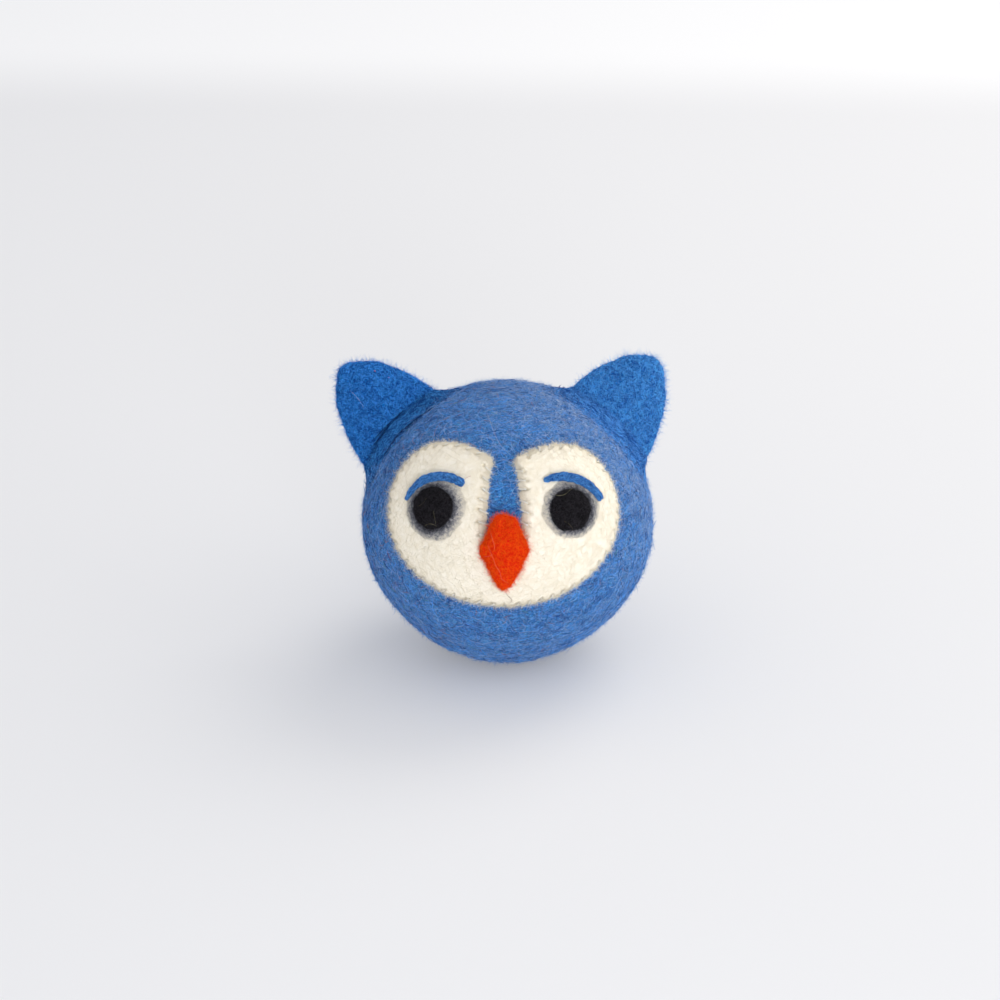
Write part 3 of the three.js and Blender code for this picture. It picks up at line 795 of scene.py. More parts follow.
# painted light: the right ear's felt, hair and fuzz are lighter copies of the left's, as the window light
# falls on it
earMaterial = {"left": makeFelt("wool felt, bright blue, needle felted", earFelt),
               "right": makeFelt("wool felt, light bright blue, needle felted",
                                 dict(earFelt, dark="#0472ce", main="#0a98fa", pale="#54caff"))}
collarMaterial = {label: makeFelt(f"wool batt, blue, needled on, {label}", look)
                  for label, look in collarFelt.items()}
earHair = {"left": makeHair("wool hair, bright blue", "#00469a", "#4caaf8", 0.7, 0.16, 0.6),
           "right": makeHair("wool hair, bright blue, painted light, right ear", "#0452ac", "#62c0ff", 0.7, 0.16, 0.6, 0.1)}
earFuzzHair = {"left": makeHair("wool fuzz, bright blue", "#0266c2", "#3ca8fa", 0.7, 0.16, 0.4, 0.1),
               "right": makeHair("wool fuzz, bright blue, painted light, right ear", "#0a76d4", "#5cbeff", 0.7, 0.16, 0.4, 0.25)}
collarHair = {"left": makeHair("wool hair, blue, painted shade, left collar", "#08468c", "#4496de", 0.6, 0.2, 0.7),
              "right": makeHair("wool hair, mid blue", "#0e58ac", "#5eacf4", 0.6, 0.2, 0.7, 0.1)}
collarEdgeHair = makeHair("wool locks, blue, round the ears", "#0a4c98", "#54a4f0", 0.8, 0.2, 0.7, 0.3)
for label, way in ears.items():
    addEar(label, way)
print("ears and collars made")


# Face patch: sheet felt cut with two lobes, whip stitched down; sizes in mm on the flat felt

patch = {
    "faceLine": 3.0, "halfWidth": 28.2, "drop": 22.3, "lobeRise": 16.6, "lobeOuter": 13.4, "lobeInner": 16.9,
    "thickness": 1.5, "edgeThickness": 0.9, "edgeBand": 1.6, "seat": 0.3,
    "slotTop": 2.6, "slotHalf": 3.8, "slotFoot": 4.5, "slotCorner": 0.9,
    "leftward": 0.3, "slotAside": 0.5,                      # how far the cutting by hand is off
    "stitchPitch": 2.75, "scallop": 0.6, "ragged": 0.16, "raggedSize": 1.7,
    "waves": [(5.5, 0.12, 6.1), (1.3, 0.01, 2.2)],          # size, height and seed
    "columns": 420, "rows": 40,
    "pitDepth": 0.42, "pitRadius": 0.3, "grooveDepth": 0.24, "grooveRadius": 0.42,
}
patchFelt = {
    "dark": "#f4ebd6", "main": "#fcf5e5", "pale": "#fffbf0", "bloom": "#fffaf0", "sheen": 0.15,
    "bendSize": 2.8, "bend": 2.4, "hairLength": 3.5, "hairWidth": 0.24, "hairFrom": 0.55, "hairShow": 0.35,
    "hairTurns": [(0, 0.1, 0.5), (0.3, 0.9, 1.4), (1.0, 0.5, 2.6)],
    "cloudSize": 1.4, "bumpShow": 0.3, "bumpDepth": 0.03, "hole": "#e4d8be",
# hole: painted shade and dirt in the stitch holes and grooves
}
threadLook = {"reach": 1.55, "over": 0.45, "slant": 0.55, "ply": 0.13, "apart": 0.8, "twist": 0.85,
              "jitter": 0.16, "steps": 22, "sides": 6, "sink": ([0, 0.12, 0.8, 1], [0.55, 0.0, 0.0, 0.5])}


def arc(x, y, radiusX, radiusY, start, end):
    turn = np.linspace(start, end, 300)
    return np.stack([x + radiusX * np.cos(turn), y + radiusY * np.sin(turn)], 1)


def bezier(a, b, c):
    t = np.linspace(0, 1, 80)[:, None]
    return (1 - t) ** 2 * a + 2 * t * (1 - t) * b + t ** 2 * c


def joinLines(*lines):
    return np.concatenate([lines[0]] + [line[1:] for line in lines[1:]])


def lengthsAlong(line):
    return np.concatenate([[0], np.cumsum(np.linalg.norm(np.diff(line, axis=0), axis=1))])


def pointAlong(line, shares):
    run = lengthsAlong(line)
    at = np.asarray(shares) * run[-1]
    return np.stack([np.interp(at, run, line[:, i]) for i in range(2)], -1)


# right half of the outline: from its lowest point up round the lobe, and from the foot of the slot up
def halfOutlines():
    centre = patch["halfWidth"] - patch["lobeOuter"]
    line, rise, inner, top = patch["faceLine"], patch["lobeRise"], patch["lobeInner"], patch["slotTop"]
    cornerY = line + rise * math.sin(math.acos((top - centre) / inner))
    turn = math.acos((top + patch["slotCorner"] - centre) / inner)
    before = np.array([centre + inner * math.cos(turn), line + rise * math.sin(turn)])
    after = np.array([top, cornerY - patch["slotCorner"]])
    corner = np.array([top, cornerY])
    beforeBend, afterBend = (before + corner) / 2, (after + corner) / 2
    meeting = (beforeBend + afterBend) / 2
    outer = joinLines(
        arc(0, line, patch["halfWidth"], patch["drop"], -math.pi / 2, 0),
        arc(centre, line, patch["lobeOuter"], rise, 0, math.pi / 2),
        arc(centre, line, inner, rise, math.pi / 2, turn),
        bezier(before, beforeBend, meeting))
    half = patch["slotHalf"]
    start = np.array([half, half - patch["slotFoot"]])
    slot = joinLines(
        arc(0, start[1], half, half, -math.pi / 2, 0),
        bezier(start, np.array([half, (start[1] + after[1]) / 2]), after),
        bezier(after, afterBend, meeting))
    return outer, slot


outerLine, slotLine = halfOutlines()
slotStitches = max(1, round(lengthsAlong(outerLine)[-1] / patch["stitchPitch"] / 3))


# points of an edge, with the way into the felt and the room left before the slot's corner
def edgeOf(line, shares, turn):
    step = 0.5 / len(shares)
    points = pointAlong(line, shares)
    ahead, behind = (pointAlong(line, np.clip(shares + shift, 0, 1)) for shift in (step, -step))
    along = unit(ahead - behind)
    inward = np.stack([-along[:, 1], along[:, 0]], 1) * turn
    room = np.minimum(1, np.linalg.norm(points - line[-1], axis=1) / (2 * patch["edgeBand"]))
    return points, inward, room, along


# each stitch: a hole in the felt, the edge that it crosses and the place where it goes into the ball
def placeStitches():
    random = np.random.default_rng(5)
    made = []
    for side in (-1, 1):
        for line, turn, count in ((outerLine, 1, slotStitches * 3), (slotLine, -1, slotStitches)):
            shares = np.arange(1, count) / count
            points, inward, room, along = edgeOf(line, shares, turn)
            for p, n, t in zip(points, inward, along):
                shift, reach, slant = random.normal(size=3) * threadLook["jitter"]
                p = p + t * shift
                lean = t * (threadLook["slant"] + slant) * side * turn
                hole = p + n * (threadLook["reach"] + reach) + lean
                end = p - n * threadLook["over"] - lean
                made.append([q * (side, 1) for q in (hole, p, end)])
    return np.array(made)


stitches = placeStitches()


# how far the thread pulls the felt in at a place: a groove along each stitch and a pit at its hole
def stitchPull(at):
    pull = np.zeros(len(at))
    for hole, _, end in stitches:
        span = end - hole
        share = np.clip(((at - hole) @ span) / (span @ span), 0, 1)
        off = np.linalg.norm(at - hole - share[:, None] * span, axis=1)
        groove = patch["grooveDepth"] * np.exp(-(off / patch["grooveRadius"]) ** 2)
        pit = patch["pitDepth"] * np.exp(-(np.linalg.norm(at - hole, axis=1) / patch["pitRadius"]) ** 2)
        pull = np.maximum(pull, groove + pit)
    return pull


def patchTop(inside):
    rim = patch["edgeThickness"]
    over = np.clip(inside / rim, 0, 1)
    edge = rim * np.sqrt(np.maximum(0, 1 - (1 - over) ** 2))
    share = np.clip((inside - 0.2) / patch["edgeBand"], 0, 1)
    return edge + (patch["thickness"] + patch["seat"] - rim) * share * share * (3 - 2 * share)


# the small shifts of a cut by hand: the rim to the left, the foot of the slot to the right
def asCut(at):
    x, y = at.T
    slot = patch["slotAside"] * np.clip((10 - y) / 8, 0, 1) * np.exp(-(x / 6) ** 2)
    return np.stack([x + slot - patch["leftward"] * np.clip(np.abs(x) / 20, 0, 1), y], 1)


def addFacePatch():
    count = patch["columns"]
    shares = np.linspace(0, 1, count + 1)
    band = patch["edgeBand"] * np.array([0, 0.02, 0.08, 0.18, 0.32, 0.5, 0.72, 1.0])
    edges = []
    for line, turn, number in ((outerLine, 1, slotStitches * 3), (slotLine, -1, slotStitches)):
        points, inward, room, along = edgeOf(line, shares, turn)
        pull = patch["scallop"] * room * (1 - np.abs(np.sin(shares * number * np.pi))) ** 2
        ragged = patch["ragged"] * room * flatNoise(points, patch["raggedSize"], turn * 4.4)
        edges.append([points + inward * (pull + ragged + d * room)[:, None] for d in band])
    between = np.linspace(0, 1, patch["rows"] + 2)[1:-1]
    rows = edges[0] + [edges[0][-1] * (1 - t) + edges[1][-1] * t for t in between] + edges[1][::-1]
    inside = np.concatenate([band, np.full(len(between), 99.0), band[::-1]])
    right = np.stack(rows)                                  # rows x columns x 2
    left = right[:, :0:-1] * (-1, 1)
    flat = np.concatenate([left, right], 1)
    height = np.repeat(patchTop(inside)[:, None], flat.shape[1], 1)
    columns = flat.shape[1]
    at = flat.reshape(-1, 2)
    top = height.ravel()
    pull = stitchPull(at)
    # where the thread pulls the felt in: painted shade and dirt, read by the material as hole
    holeShadeAndDirt = np.clip(pull / patch["pitDepth"] - 0.35, 0, 1)
    top = np.maximum(0.05, top - pull * np.clip(top / 0.6, 0, 1))
    waves = sum(size[1] * flatNoise(at, size[0], size[2]) for size in patch["waves"])
    top = top + np.clip(top - 0.3, 0, 1) * waves
    at = asCut(at)
    points = onFace(at[:, 0], at[:, 1], top)
    under = onFace(at[:, 0], at[:, 1], np.minimum(0.02, top))
    faces = gridFaces(len(rows), columns)
    number = len(points)
    total = np.concatenate([points, under])
    j = np.arange(columns - 1)
    last = (len(rows) - 1) * columns
    wallOuter = np.stack([j + number, j + 1 + number, j + 1, j], 1)
    wallInner = np.stack([last + j, last + j + 1, last + j + 1 + number, last + j + number], 1)
    allFaces = np.concatenate([faces, faces[:, ::-1] + number, wallOuter, wallInner])
    material = makeFelt("wool sheet felt, cream", patchFelt)
    piece = addMesh("face_patch_felt", total, allFaces, material)
    keepValues(piece, "hole", np.concatenate([holeShadeAndDirt, holeShadeAndDirt]))
    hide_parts("face_patch")
    return piece, makeSurface(points, faces)


patchPiece, patchSurface = addFacePatch()
print("face patch made")


# Cotton sewing thread, mercerised: two plies twisted together, whiter than the felt and a little glossy.
def makeThread():
    material, tree, place = startMaterial("cotton thread, white, two ply")
    shade = addNoise(tree, place, 0.5).outputs["Fac"]
    endMaterial(tree, {
        "Base Color": mixColours(tree, shade, "#e9e4d6", "#fffefa"), "Roughness": 0.38, "IOR": 1.53})
    return material


def addStitches():
    steps = threadLook["steps"]
    share = np.linspace(0, 1, steps)
    hole, end = stitches[:, 0], stitches[:, 2]
    span = end - hole
    at = hole[:, None] + span[:, None] * share[:, None]
    reach, over = threadLook["reach"], threadLook["over"]
    inside = reach - share * (reach + over)
    flat = at.reshape(-1, 2)
    top = np.tile(patchTop(inside), len(stitches))
    top = np.maximum(0.05, top - stitchPull(flat) * np.clip(top / 0.6, 0, 1)) + threadLook["ply"] * 0.9
    sink = np.tile(np.interp(share, *threadLook["sink"]), len(stitches))
    paths = onFace(*asCut(flat).T, top - sink).reshape(len(stitches), steps, 3)
    ups = unit(paths - ballCentre)
    along = unit(np.gradient(paths, axis=1))
    across = np.cross(along, ups)
    run = share * np.linalg.norm(span, axis=1)[:, None] * 1.15
    apart = threadLook["ply"] * threadLook["apart"]
    plies = []
    for start in (0, np.pi):
        turn = (run / threadLook["twist"] * 2 * np.pi + start)[:, :, None]
        plies.append(paths + apart * (across * np.cos(turn) + ups * np.sin(turn)))
    plies = np.concatenate(plies)
    return addStrands("patch_stitches", plies, np.full(plies.shape[:2], threadLook["ply"]),
                      np.concatenate([ups, ups]), makeThread(), sides=threadLook["sides"])


# how close places are to the patch's edges, found on the flat pattern
def nearEdge(at, normals):
    local = (at - ballCentre) @ headTurn
    angle = np.arccos(np.clip(-local[:, 1] / np.linalg.norm(local, axis=1), -1, 1))
    reach = np.hypot(local[:, 0], local[:, 2])
    flat = local[:, [0, 2]] / np.maximum(reach, 1e-9)[:, None] * (angle * ball["radius"])[:, None]
    line = np.concatenate([outerLine[::4], slotLine[::4]])
    line = np.concatenate([line, line * (-1, 1)])
    off = np.sqrt(((flat[:, None] - line[None]) ** 2).sum(-1)).min(1)
    return np.exp(-(off / patchFuzz["fromEdge"]) ** 2)


patchFibres = {"count": 6500, "steps": 4, "length": (1.2, 4.0), "width": 0.045, "lift": 0.05, "curl": 90,
               "lying": 0.85}
patchFuzz = {"count": 14000, "steps": 2, "length": (0.5, 1.5), "width": 0.05, "lift": 0.42, "curl": 60,
             "lying": 0.1, "fromEdge": 1.3}

patchStitches = addStitches()
creamHair = makeHair("wool hair, cream", "#f6eedb", "#fdf6e6")
patchHairs = growFibres("face_patch_fibres", patchSurface, patchFibres, creamHair, 41)
patchEdgeHairs = growFibres("face_patch_edge_fuzz", patchSurface, patchFuzz, creamHair, 42,
                            where=nearEdge)


# Eyes: a loose grey ring and a black domed disc, needled on to the patch

eye = {
    "onPatch": 2.1,
    "left": {"pupil": (-14.8, 3.35), "ring": (-14.85, 3.15), "ringRadius": 6.9, "seed": 51},
    "right": {"pupil": (13.9, 3.3), "ring": (14.5, 3.5), "ringRadius": 6.45, "seed": 61},
    "pupilRadius": 4.4, "pupilThickness": 1.6, "pupilUneven": 0.16, "ringUneven": 0.45,
    "dome": [(1.0, -0.3), (1.03, 0.1), (0.98, 0.35), (0.9, 0.56), (0.75, 0.76), (0.45, 0.93), (0.0, 1.0)],
    "ringRise": [(0.5, -0.3), (0.62, 0.25), (0.74, 0.42), (0.84, 0.12), (0.93, -0.16), (1.0, -0.4),
                 (1.06, -0.6)],
    "pupilWaves": [(1.8, 0.12, 0.6), (0.8, 0.08, 0.7)],
    "ringWaves": [(1.6, 0.14, 0.2), (0.6, 0.13, 0.4)],
}
pupilFelt = {
    "dark": "#040407", "main": "#09090d", "pale": "#2a2a32", "bloom": "#5a5a62", "sheen": 0.08, "gloss": 0.05,
    "bendSize": 2, "bend": 2.2, "hairLength": 2.2, "hairWidth": 0.22, "hairFrom": 0.58, "hairShow": 0.5,
    "hairTurns": [(0, 0.1, 0.4), (0.3, 0.9, 1.6)], "cloudSize": 1.1, "bumpShow": 0.9, "bumpDepth": 0.18,
    "flecks": [("#5a2a26", 0.9)],
}
pupilFibres = {"count": 3000, "steps": 4, "length": (1.0, 3.0), "width": 0.055, "lift": 0.22, "curl": 150,
               "lying": 0.75}
ringFibres = {"count": 6000, "steps": 4, "length": (0.8, 3.0), "width": 0.075, "lift": 0.16, "curl": 80,
              "lying": 0.8, "rest": 0.02}
ringEdge = dict(ringFibres, count=2600, length=(0.6, 2.0), width=0.07)
# where the ring's tones begin and end, in mm past its radius; stir and own are how far the clouds of wool and
# each single fibre shift that
ringWool = {
    "packed": "#303138", "middle": "#90919a", "thin": "#f3ecdc", "middleFrom": 0.0, "middleTo": 1.4,
    "thinFrom": 1.1, "thinTo": 2.35, "stir": 3.4, "stirSize": 0.7, "own": 1.3, "bumpShow": 0.8,
    "bumpDepth": 0.25,
}


# Carded grey wool, needled down loosely: dark where it is packed against the black disc, thin and pale
# outside.
def makeRingWool(name, centre, radius):
    material, tree, place = startMaterial(name)
    out = reckonVectors(tree, "DISTANCE", {0: place, 1: Vector(centre) * mm})["Value"]
    stir = addNoise(tree, place, ringWool["stirSize"], 4, 0.7).outputs["Fac"]
    sway = reckon(tree, "MULTIPLY_ADD", stir, ringWool["stir"] * mm, out)
    sway = reckon(tree, "MULTIPLY_ADD", readShare(tree, "shade"), ringWool["own"] * mm, sway)
    inner, outer = (
        rescale(tree, sway, (radius + ringWool[f"{tone}From"]) * mm, (radius + ringWool[f"{tone}To"]) * mm)
        for tone in ("middle", "thin"))
    colour = mixColours(tree, inner, ringWool["packed"], ringWool["middle"])
    endMaterial(tree, {
        "Base Color": mixColours(tree, outer, colour, ringWool["thin"]),
        "Normal": addBump(tree, stir, ringWool["bumpShow"], ringWool["bumpDepth"]), "Roughness": 0.95,
        "IOR": woolIor, "Specular IOR Level": 0.2, "Sheen Weight": 0.2, "Sheen Tint": linear("#e8e8ee")})
    return material


def discOn(at, radius, profile, uneven, seed, sides=150, rows=44):
    turn = np.arange(sides) / sides * 2 * np.pi
    share, height = curveThrough(profile, np.linspace(0, 1, rows)).T
    wave = uneven * flatNoise(np.column_stack([np.cos(turn), np.sin(turn)]) * radius, 2.6, seed * 0.31)
    reach = share[:, None] * radius + wave * np.clip(share[:, None], 0, 1)
    reach[-1] = np.maximum(reach[-1], 0.01)
    x = at[0] + reach * np.cos(turn)
    y = at[1] + reach * np.sin(turn)
    points = onFace(x.ravel(), y.ravel(), np.repeat(height, sides))
    return points, gridFaces(rows, sides, closed=True)


def addEye(label, settings):
    seed = settings["seed"]
    base = eye["onPatch"]
    radius = settings["ringRadius"]
    profile = [(share, base + rise) for share, rise in eye["ringRise"]]
    points, faces = discOn(settings["ring"], radius, profile, eye["ringUneven"], seed)
    faces = faces[:, ::-1]                         # its rows run outward, unlike the pupil's
    points = roughen(points, faces, eye["ringWaves"], seed)
    middle = onFace(*settings["ring"], base)[0]
    grey = makeRingWool(f"carded wool, grey, {label} eye", middle * (1, 1, heightShare), radius)
    ring = addMesh(f"eye_ring_{label}_wool", points, faces, grey)
    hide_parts(f"eye_ring_{label}")
    surface = makeSurface(points, faces)
    outside = lambda at, normal: np.clip(np.linalg.norm(at - middle, axis=1) - radius + 1.3, 0, 1)
    growFibres(f"eye_ring_{label}_fibres", surface, ringFibres, grey, seed)
    growFibres(f"eye_ring_{label}_edge", surface, ringEdge, grey, seed + 2, where=outside)

    profile = [(w, base + h * eye["pupilThickness"]) for w, h in eye["dome"]]
    points, faces = discOn(settings["pupil"], eye["pupilRadius"], profile, eye["pupilUneven"], seed + 1)
    points = roughen(points, faces, eye["pupilWaves"], seed)
    pupil = addMesh(f"pupil_{label}_felt", points, faces, pupilMaterial)
    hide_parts(f"pupil_{label}")
    surface = makeSurface(points, faces)
    growFibres(f"pupil_{label}_fibres", surface, pupilFibres, blackHair, seed + 1)


blackHair = makeHair("wool hair, black", "#050508", "#38353a", 0.6, 0.2, 0.7)
pupilMaterial = makeFelt("wool felt, black", pupilFelt)
for label in ("left", "right"):
    addEye(label, eye[label])
print("eyes made")


# Brows: a blue wool strand of two plies laid in an arc over each eye

# Where each arc has its middle on the face, in mm, its radius and the angles of its two ends; how thick the
# strand is at its outer end, its middle and its inner end.
brow = {
    "left": {"side": -1, "centre": (-13.6, 1.7), "radius": 8.5, "outer": 23.5, "inner": 128.6,
             "thickness": (0.6, 1.0, 1.0)},
    "right": {"side": 1, "centre": (12.8, 0.4), "radius": 10.0, "outer": 32.0, "inner": 117.0,
              "thickness": (0.95, 1.0, 0.6)},
    "ply": 0.46, "apart": 0.46, "twist": 70.0, "level": 2.5, "steps": 110, "sides": 22,
    "waves": [(1.5, 0.12, 2.1), (0.6, 0.16, 5.3)], "hold": 3.0,
}
browFelt = dict(earFelt, main="#2e80d2", dark="#1658a8", pale="#7cbcf2", cloudSize=1.0, pitSize=1.0,
                pitShow=0.7, hairTurns=[(0, 0, 0), (0, 0.4, 0.5), (0, -0.4, -0.5)])
browFibres = {"count": 3000, "steps": 4, "length": (0.8, 2.4), "width": 0.065, "lift": 0.1, "curl": 60,
              "lying": 0.75}


def addBrow(label):
    way = brow[label]
    side, share = way["side"], np.linspace(0, 1, brow["steps"])
    turn = np.radians(way["outer"] + (way["inner"] - way["outer"]) * share)
    thickness = np.interp(share, [0, 0.35, 0.75, 1], [way["thickness"][i] for i in (0, 1, 1, 2)])
    ends = np.minimum(1, np.minimum(share, 1 - share) * brow["steps"] / 6)
    closing = np.sqrt(np.maximum(0.02, 1 - (1 - ends) ** 2))
    run = share * np.radians(way["inner"] - way["outer"]) * way["radius"]
    allPoints, allFaces = [], []
    for start in (0, np.pi):
        roll = run / brow["twist"] * 2 * np.pi + start - 0.6
        reach = way["radius"] + np.cos(roll) * thickness * brow["apart"]
        height = brow["level"] + np.sin(roll) * thickness * brow["apart"] * 0.5
        x = way["centre"][0] + side * reach * np.cos(turn)
        y = way["centre"][1] + reach * np.sin(turn)
        path = onFace(x, y, height)[None]
        points, faces = tubesAlong(path, (brow["ply"] * thickness * closing)[None], unit(path - ballCentre),
                                   brow["sides"])
        allFaces.append(faces + sum(len(p) for p in allPoints))
        allPoints.append(points)
    points, faces = np.concatenate(allPoints), np.concatenate(allFaces)
    points = roughen(points, faces, [(size, height, side + seed) for size, height, seed in brow["waves"]])
    piece = addMesh(f"brow_{label}_strand", points, faces, browMaterial)
    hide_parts(f"brow_{label}")
    middle = onFace(*way["centre"], 2)[0]

    def alongArc(spots, normals):
        return unit(np.cross(unit(spots - ballCentre), spots - middle)), np.full(len(spots), brow["hold"])

    surface = makeSurface(points, faces)
    growFibres(f"brow_{label}_fibres", surface, browFibres, browHair, 70 + side, flow=alongArc)


browMaterial = makeFelt("wool strand, blue, two ply", browFelt)
browHair = makeHair("wool hair, strand blue", "#084896", "#60aaee", 0.5, 0.15, 0.7, 0.1)
for label in ("left", "right"):
    addBrow(label)
print("brows made")


# Beak: a domed diamond of orange wool, needle felted over the foot of the slot

beak = {
    "outline": [(0.0, 2.2), (0.95, 2.1), (1.75, 1.7), (2.3, 0.9), (2.75, -0.1), (3.2, -1.2), (3.7, -2.35),
                (4.25, -3.5), (4.7, -4.7), (4.8, -5.8), (4.45, -6.8), (3.95, -7.8), (3.45, -8.8),
                (2.95, -9.8), (2.45, -10.8), (1.9, -11.8), (1.35, -12.8), (0.8, -13.6), (0.0, -14.05)],
    "middle": -5.3, "base": 2.1, "thickness": 2.4, "rim": 0.7, "aside": 0.4, "sides": 220, "rows": 64,
    "underWool": 0.95,                                      # the felted wool itself, inside its fuzz
    "ragged": 0.16, "raggedSize": 1.6, "waves": [(2.4, 0.24, 4.2), (1.0, 0.3, 7.7)],
    "dome": [(0.985, -0.75), (1.0, -0.3), (1.0, 0.0), (0.985, 0.22), (0.93, 0.42), (0.82, 0.62), (0.62, 0.82),
             (0.34, 0.96), (0.0, 1.0)],
}
beakFelt = {
    "dark": "#ea2600", "main": "#ff4200", "pale": "#ff6808", "bloom": "#ff6810", "sheen": 0.05, "gloss": 0.02,
    "bendSize": 2, "bend": 2, "hairLength": 2.4, "hairWidth": 0.22, "hairFrom": 0.56, "hairShow": 0.5,
    "hairTurns": [(0, 0.1, 0.4), (0.3, 0.9, 1.6)], "cloudSize": 1.0, "bumpShow": 0.9, "bumpDepth": 0.2,
    # pit and deep: painted shade in the pits and the low gaps of the grain
    "pitSize": 1.1, "pitWidth": 0.42, "pitShow": 0.9, "pit": "#cc1200",
    "grainSize": 0.45, "grainShow": 0.45, "deep": "#cc1600",
}
beakFibres = {"count": 8000, "steps": 4, "length": (0.6, 2.0), "width": 0.1, "lift": 0.14, "curl": 100,
              "lying": 0.85}
beakFuzz = {"count": 6000, "steps": 2, "length": (0.5, 1.3), "width": 0.06, "lift": 0.4, "curl": 60,
            "lying": 0.0}


def addBeak():
    half = np.array(beak["outline"])
    knots = np.concatenate([half, half[-2::-1] * (-1, 1)])
    line = curveThrough(knots, np.linspace(0, 1, 400))
    outline = pointAlong(line, np.arange(beak["sides"]) / beak["sides"])
    middle = np.array([0, beak["middle"]])
    ragged = beak["ragged"] * flatNoise(outline, beak["raggedSize"], 9.4)[:, None] * unit(outline - middle)
    outline = middle + (outline - middle) * beak["underWool"] + ragged
    share, height = curveThrough(beak["dome"], np.linspace(0, 1, beak["rows"])).T
    share[-1] = 0.004
    flat = (middle + (outline - middle) * share[:, None, None]).reshape(-1, 2)
    flat[:, 0] += beak["aside"]
    base = beak["base"] + beak["rim"]
    level = np.where(height > 0, base + height * (beak["thickness"] - beak["rim"]), base + height * 3.2)
    points = onFace(flat[:, 0], flat[:, 1], np.repeat(level, beak["sides"]))
    faces = gridFaces(len(share), beak["sides"], closed=True)[:, ::-1]
    points = roughen(points, faces, beak["waves"])
    material = makeFelt("wool, orange, needle felted", beakFelt)
    piece = addMesh("beak_wool", points, faces, material)
    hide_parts("beak")
    surface = makeSurface(points, faces)
    hair = makeHair("wool hair, orange", "#ee1c00", "#ff5e04", 0.6, 0.1, 0.7)
    paleHair = makeHair("wool hair, pale orange", "#ff3a00", "#ff7614", 0.6, 0.3, 0.8)
    onPatch = ball["radius"] + beak["base"]
    high = lambda at, normal: 1.0 * (fromCentre(at) > onPatch)
    rim = lambda at, normal: 0.15 + np.exp(-((fromCentre(at) - onPatch - beak["rim"]) / 0.7) ** 2)
    growFibres("beak_fibres", surface, beakFibres, hair, 81, where=high)
    growFibres("beak_fuzz", surface, beakFuzz, paleHair, 82, where=rim)


addBeak()
print("beak made")


# Single stray hairs that lie on the toy in the photo, as curves seen from the camera: colours of the hair,
# its width in mm, and its course across a picture that is pictureWidth wide.
strayHairs = [
    ("pale", 0.09, "ball_felt", [(486.5, 412), (491, 423.6), (495, 435), (501.8, 446.6), (510.4, 455)]),
    ("pinkish", 0.08, "ball_felt", [(434, 437), (436, 429), (442, 421), (451, 416)]),
    ("pinkish", 0.08, "ball_felt", [(442, 405), (455, 403), (468, 398)]),
    ("pale", 0.07, "ball_felt", [(362, 526), (372, 516), (382.5, 511), (386, 496), (389, 483)]),
    ("pale", 0.07, "ball_felt", [(371, 539), (376, 554), (382.5, 563)]),
    ("pale", 0.08, "ear_felt", [(350.3, 390.6), (355.2, 395.5), (359.8, 400.9), (364, 408.2)]),
    ("pinkish", 0.06, "ball_felt", [(587.8, 428.7), (592.5, 431), (597.4, 435.4)]),
    ("salmon", 0.07, "beak_wool", [(490, 530), (492.4, 539), (494.5, 546), (494.2, 550)]),
    ("salmon", 0.07, "beak_wool", [(488, 545), (491, 553.5), (493.6, 559.5), (495.5, 566), (500.3, 572),
                                   (501, 579), (505, 581), (508.8, 584)]),
    ("salmon", 0.06, "beak_wool", [(492.4, 555), (488, 556.5), (483.3, 556.5)]),
    ("brown", 0.08, "patch_felt", [(505, 592), (509, 597), (512, 600), (510, 603)]),
    ("olive", 0.08, "pupil_felt", [(553.9, 494.6), (560.2, 495.7), (565.4, 494), (569.4, 490.6),
                                   (573.4, 487.7)]),
    ("olive", 0.05, "pupil_felt", [(564.3, 521), (569.4, 524.4), (572.3, 527.9), (572.6, 530.2)]),
    ("olive", 0.07, "pupil_felt", [(423.7, 526), (430.4, 523.8), (437.5, 526.7)]),
    ("olive", 0.05, "pupil_felt", [(417.4, 506), (422, 504.3), (426.6, 497.5)]),
    ("olive", 0.06, "pupil_felt", [(433.4, 511), (434.6, 517.5), (435.7, 524)]),
    ("pinkish", 0.06, "patch_felt", [(464, 480), (467, 477.5), (471, 476)]),
    ("orange", 0.22, "ear_felt", [(374.2, 370.4), (374.9, 370.9), (375.6, 371.6)]),
    ("pink", 0.16, "ear_felt", [(387.8, 377.0), (388.5, 377.2), (389.4, 377.5)]),
]
strayColours = {
    "pale": ("#a9bcd8", "#dfe6ee"), "pinkish": ("#a97f86", "#d8a49c"), "brown": ("#6b4a34", "#97735a"),
    "olive": ("#6f6a4e", "#a09a78"), "orange": ("#d06a3c", "#e58a58"), "pink": ("#b468b4", "#d48ad0"),
    "salmon": ("#ee6a52", "#ff8c74"),
}
strayHeight = {"beak_wool": 0.4}                            # above loose fibres; 0.1 on the others


# Painted shade in the creases in front of the ears: dark wool strands laid along them, followed in the same
# way: how dark, and the course of each crease.
creaseShade = {
    "width": 0.28, "strands": 11, "aside": 1.3, "height": (0.05, 0.5), "codes": ("#0f2c58", "#255290"),
    "courses": [[(369, 449), (377, 439), (384, 431), (395, 420), (406, 409)],
                [(380, 462), (386, 453), (399, 435), (414, 422), (426, 413), (438, 403)]],
}


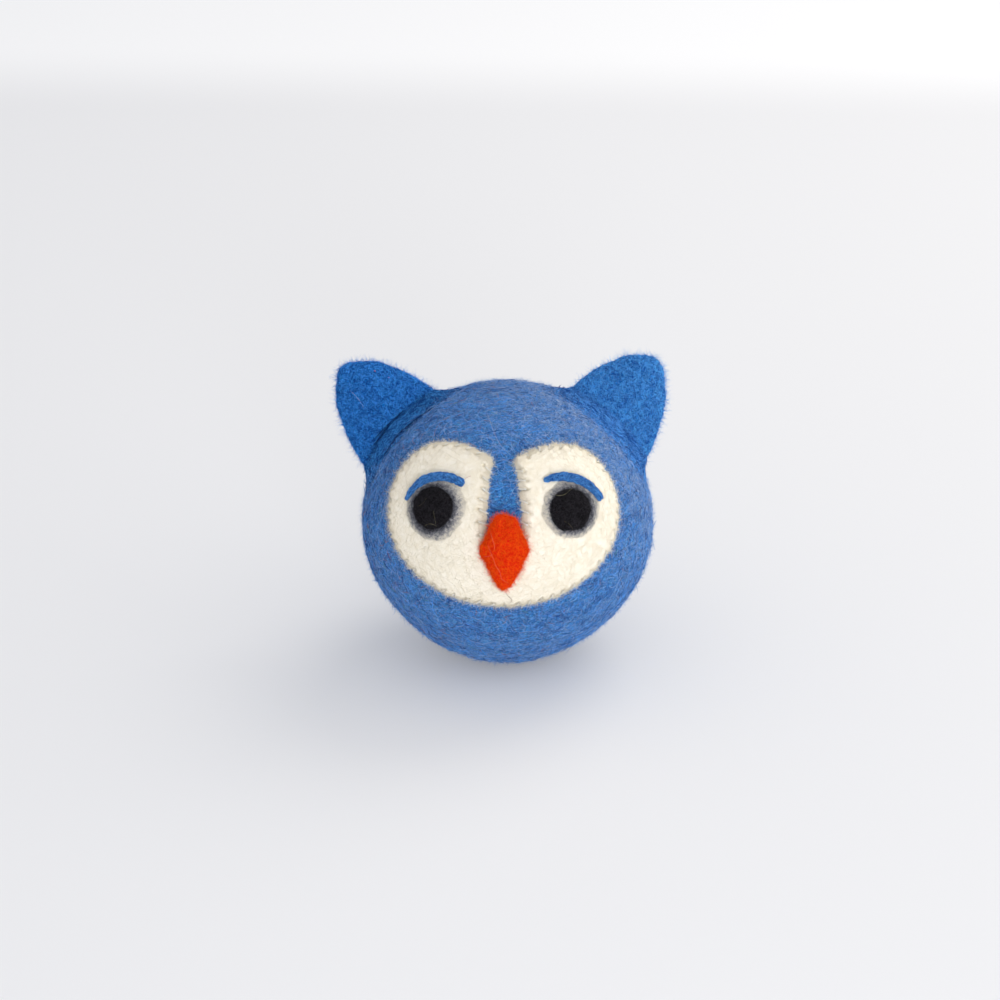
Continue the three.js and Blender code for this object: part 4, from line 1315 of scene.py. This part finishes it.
# the nearest place of any surface that the camera sees at one point of its picture
def seenAt(across, down):
    place, right, up, ahead = cameraAxes()
    reach = camera["lens"] / camera["sensor"] * camera["pictureWidth"]
    middle = camera["pictureWidth"] / 2
    settled = Vector((1, 1, heightShare))
    way = ahead + right * ((across - middle) / reach) - up * ((down - middle) / reach)
    place, way = (Vector(v[i] / settled[i] for i in range(3)) for v in (place, way))
    hits = [surface["tree"].ray_cast(place, way) for surface in surfaces]
    hits = [(hit[3], np.array(hit[0]), -np.array(way.normalized())) for hit in hits if hit[0] is not None]
    return min(hits, key=lambda hit: hit[0])[1:] if hits else None


def addStrayHairs():
    steps, smoothings = 26, 3
    hairs = {label: makeHair(f"wool hair, {label}", *codes) for label, codes in strayColours.items()}
    for number, (label, width, slot, course) in enumerate(strayHairs):
        line = curveThrough(course, np.linspace(0, 1, steps))
        found = [place for place in (seenAt(*p) for p in line) if place]
        path = np.array([f[0] for f in found])
        ups = np.array([f[1] for f in found])
        for _ in range(smoothings):
            path[1:-1] = (path[:-2] + 2 * path[1:-1] + path[2:]) / 4
        path = path + ups * (width + strayHeight.get(slot, 0.1))
        radii = width / 2 * np.interp(np.linspace(0, 1, len(path)), [0, 0.15, 0.8, 1], [0.5, 1, 1, 0.4])
        addStrands(f"stray_hair_{number + 1}", path[None], radii[None], ups[None], hairs[label], 5)


# painted shade: dark strands along each crease
def addCreaseShade():
    random = np.random.default_rng(91)
    steps = 16
    paths, ups = [], []
    for course in creaseShade["courses"]:
        for _ in range(creaseShade["strands"]):
            start = random.uniform(0, 0.75)
            line = curveThrough(course, np.linspace(start, min(1, start + random.uniform(0.2, 0.45)), steps))
            line = line + random.normal(size=2) * creaseShade["aside"]
            found = [seenAt(*p) for p in line]
            ups.append(np.array([f[1] for f in found]))
            paths.append(np.array([f[0] for f in found]) + ups[-1] * random.uniform(*creaseShade["height"]))
    taper = np.interp(np.linspace(0, 1, steps), [0, 0.3, 0.7, 1], [0.15, 1, 1, 0.15])
    radii = taper * creaseShade["width"] / 2
    addStrands("crease_painted_shade", np.array(paths), np.tile(radii, (len(paths), 1)), np.array(ups),
               makeHair("wool hair, dark, painted crease shade", *creaseShade["codes"], 0.8, 0.3, 0.7))


addStrayHairs()
addCreaseShade()
print("stray hairs laid")
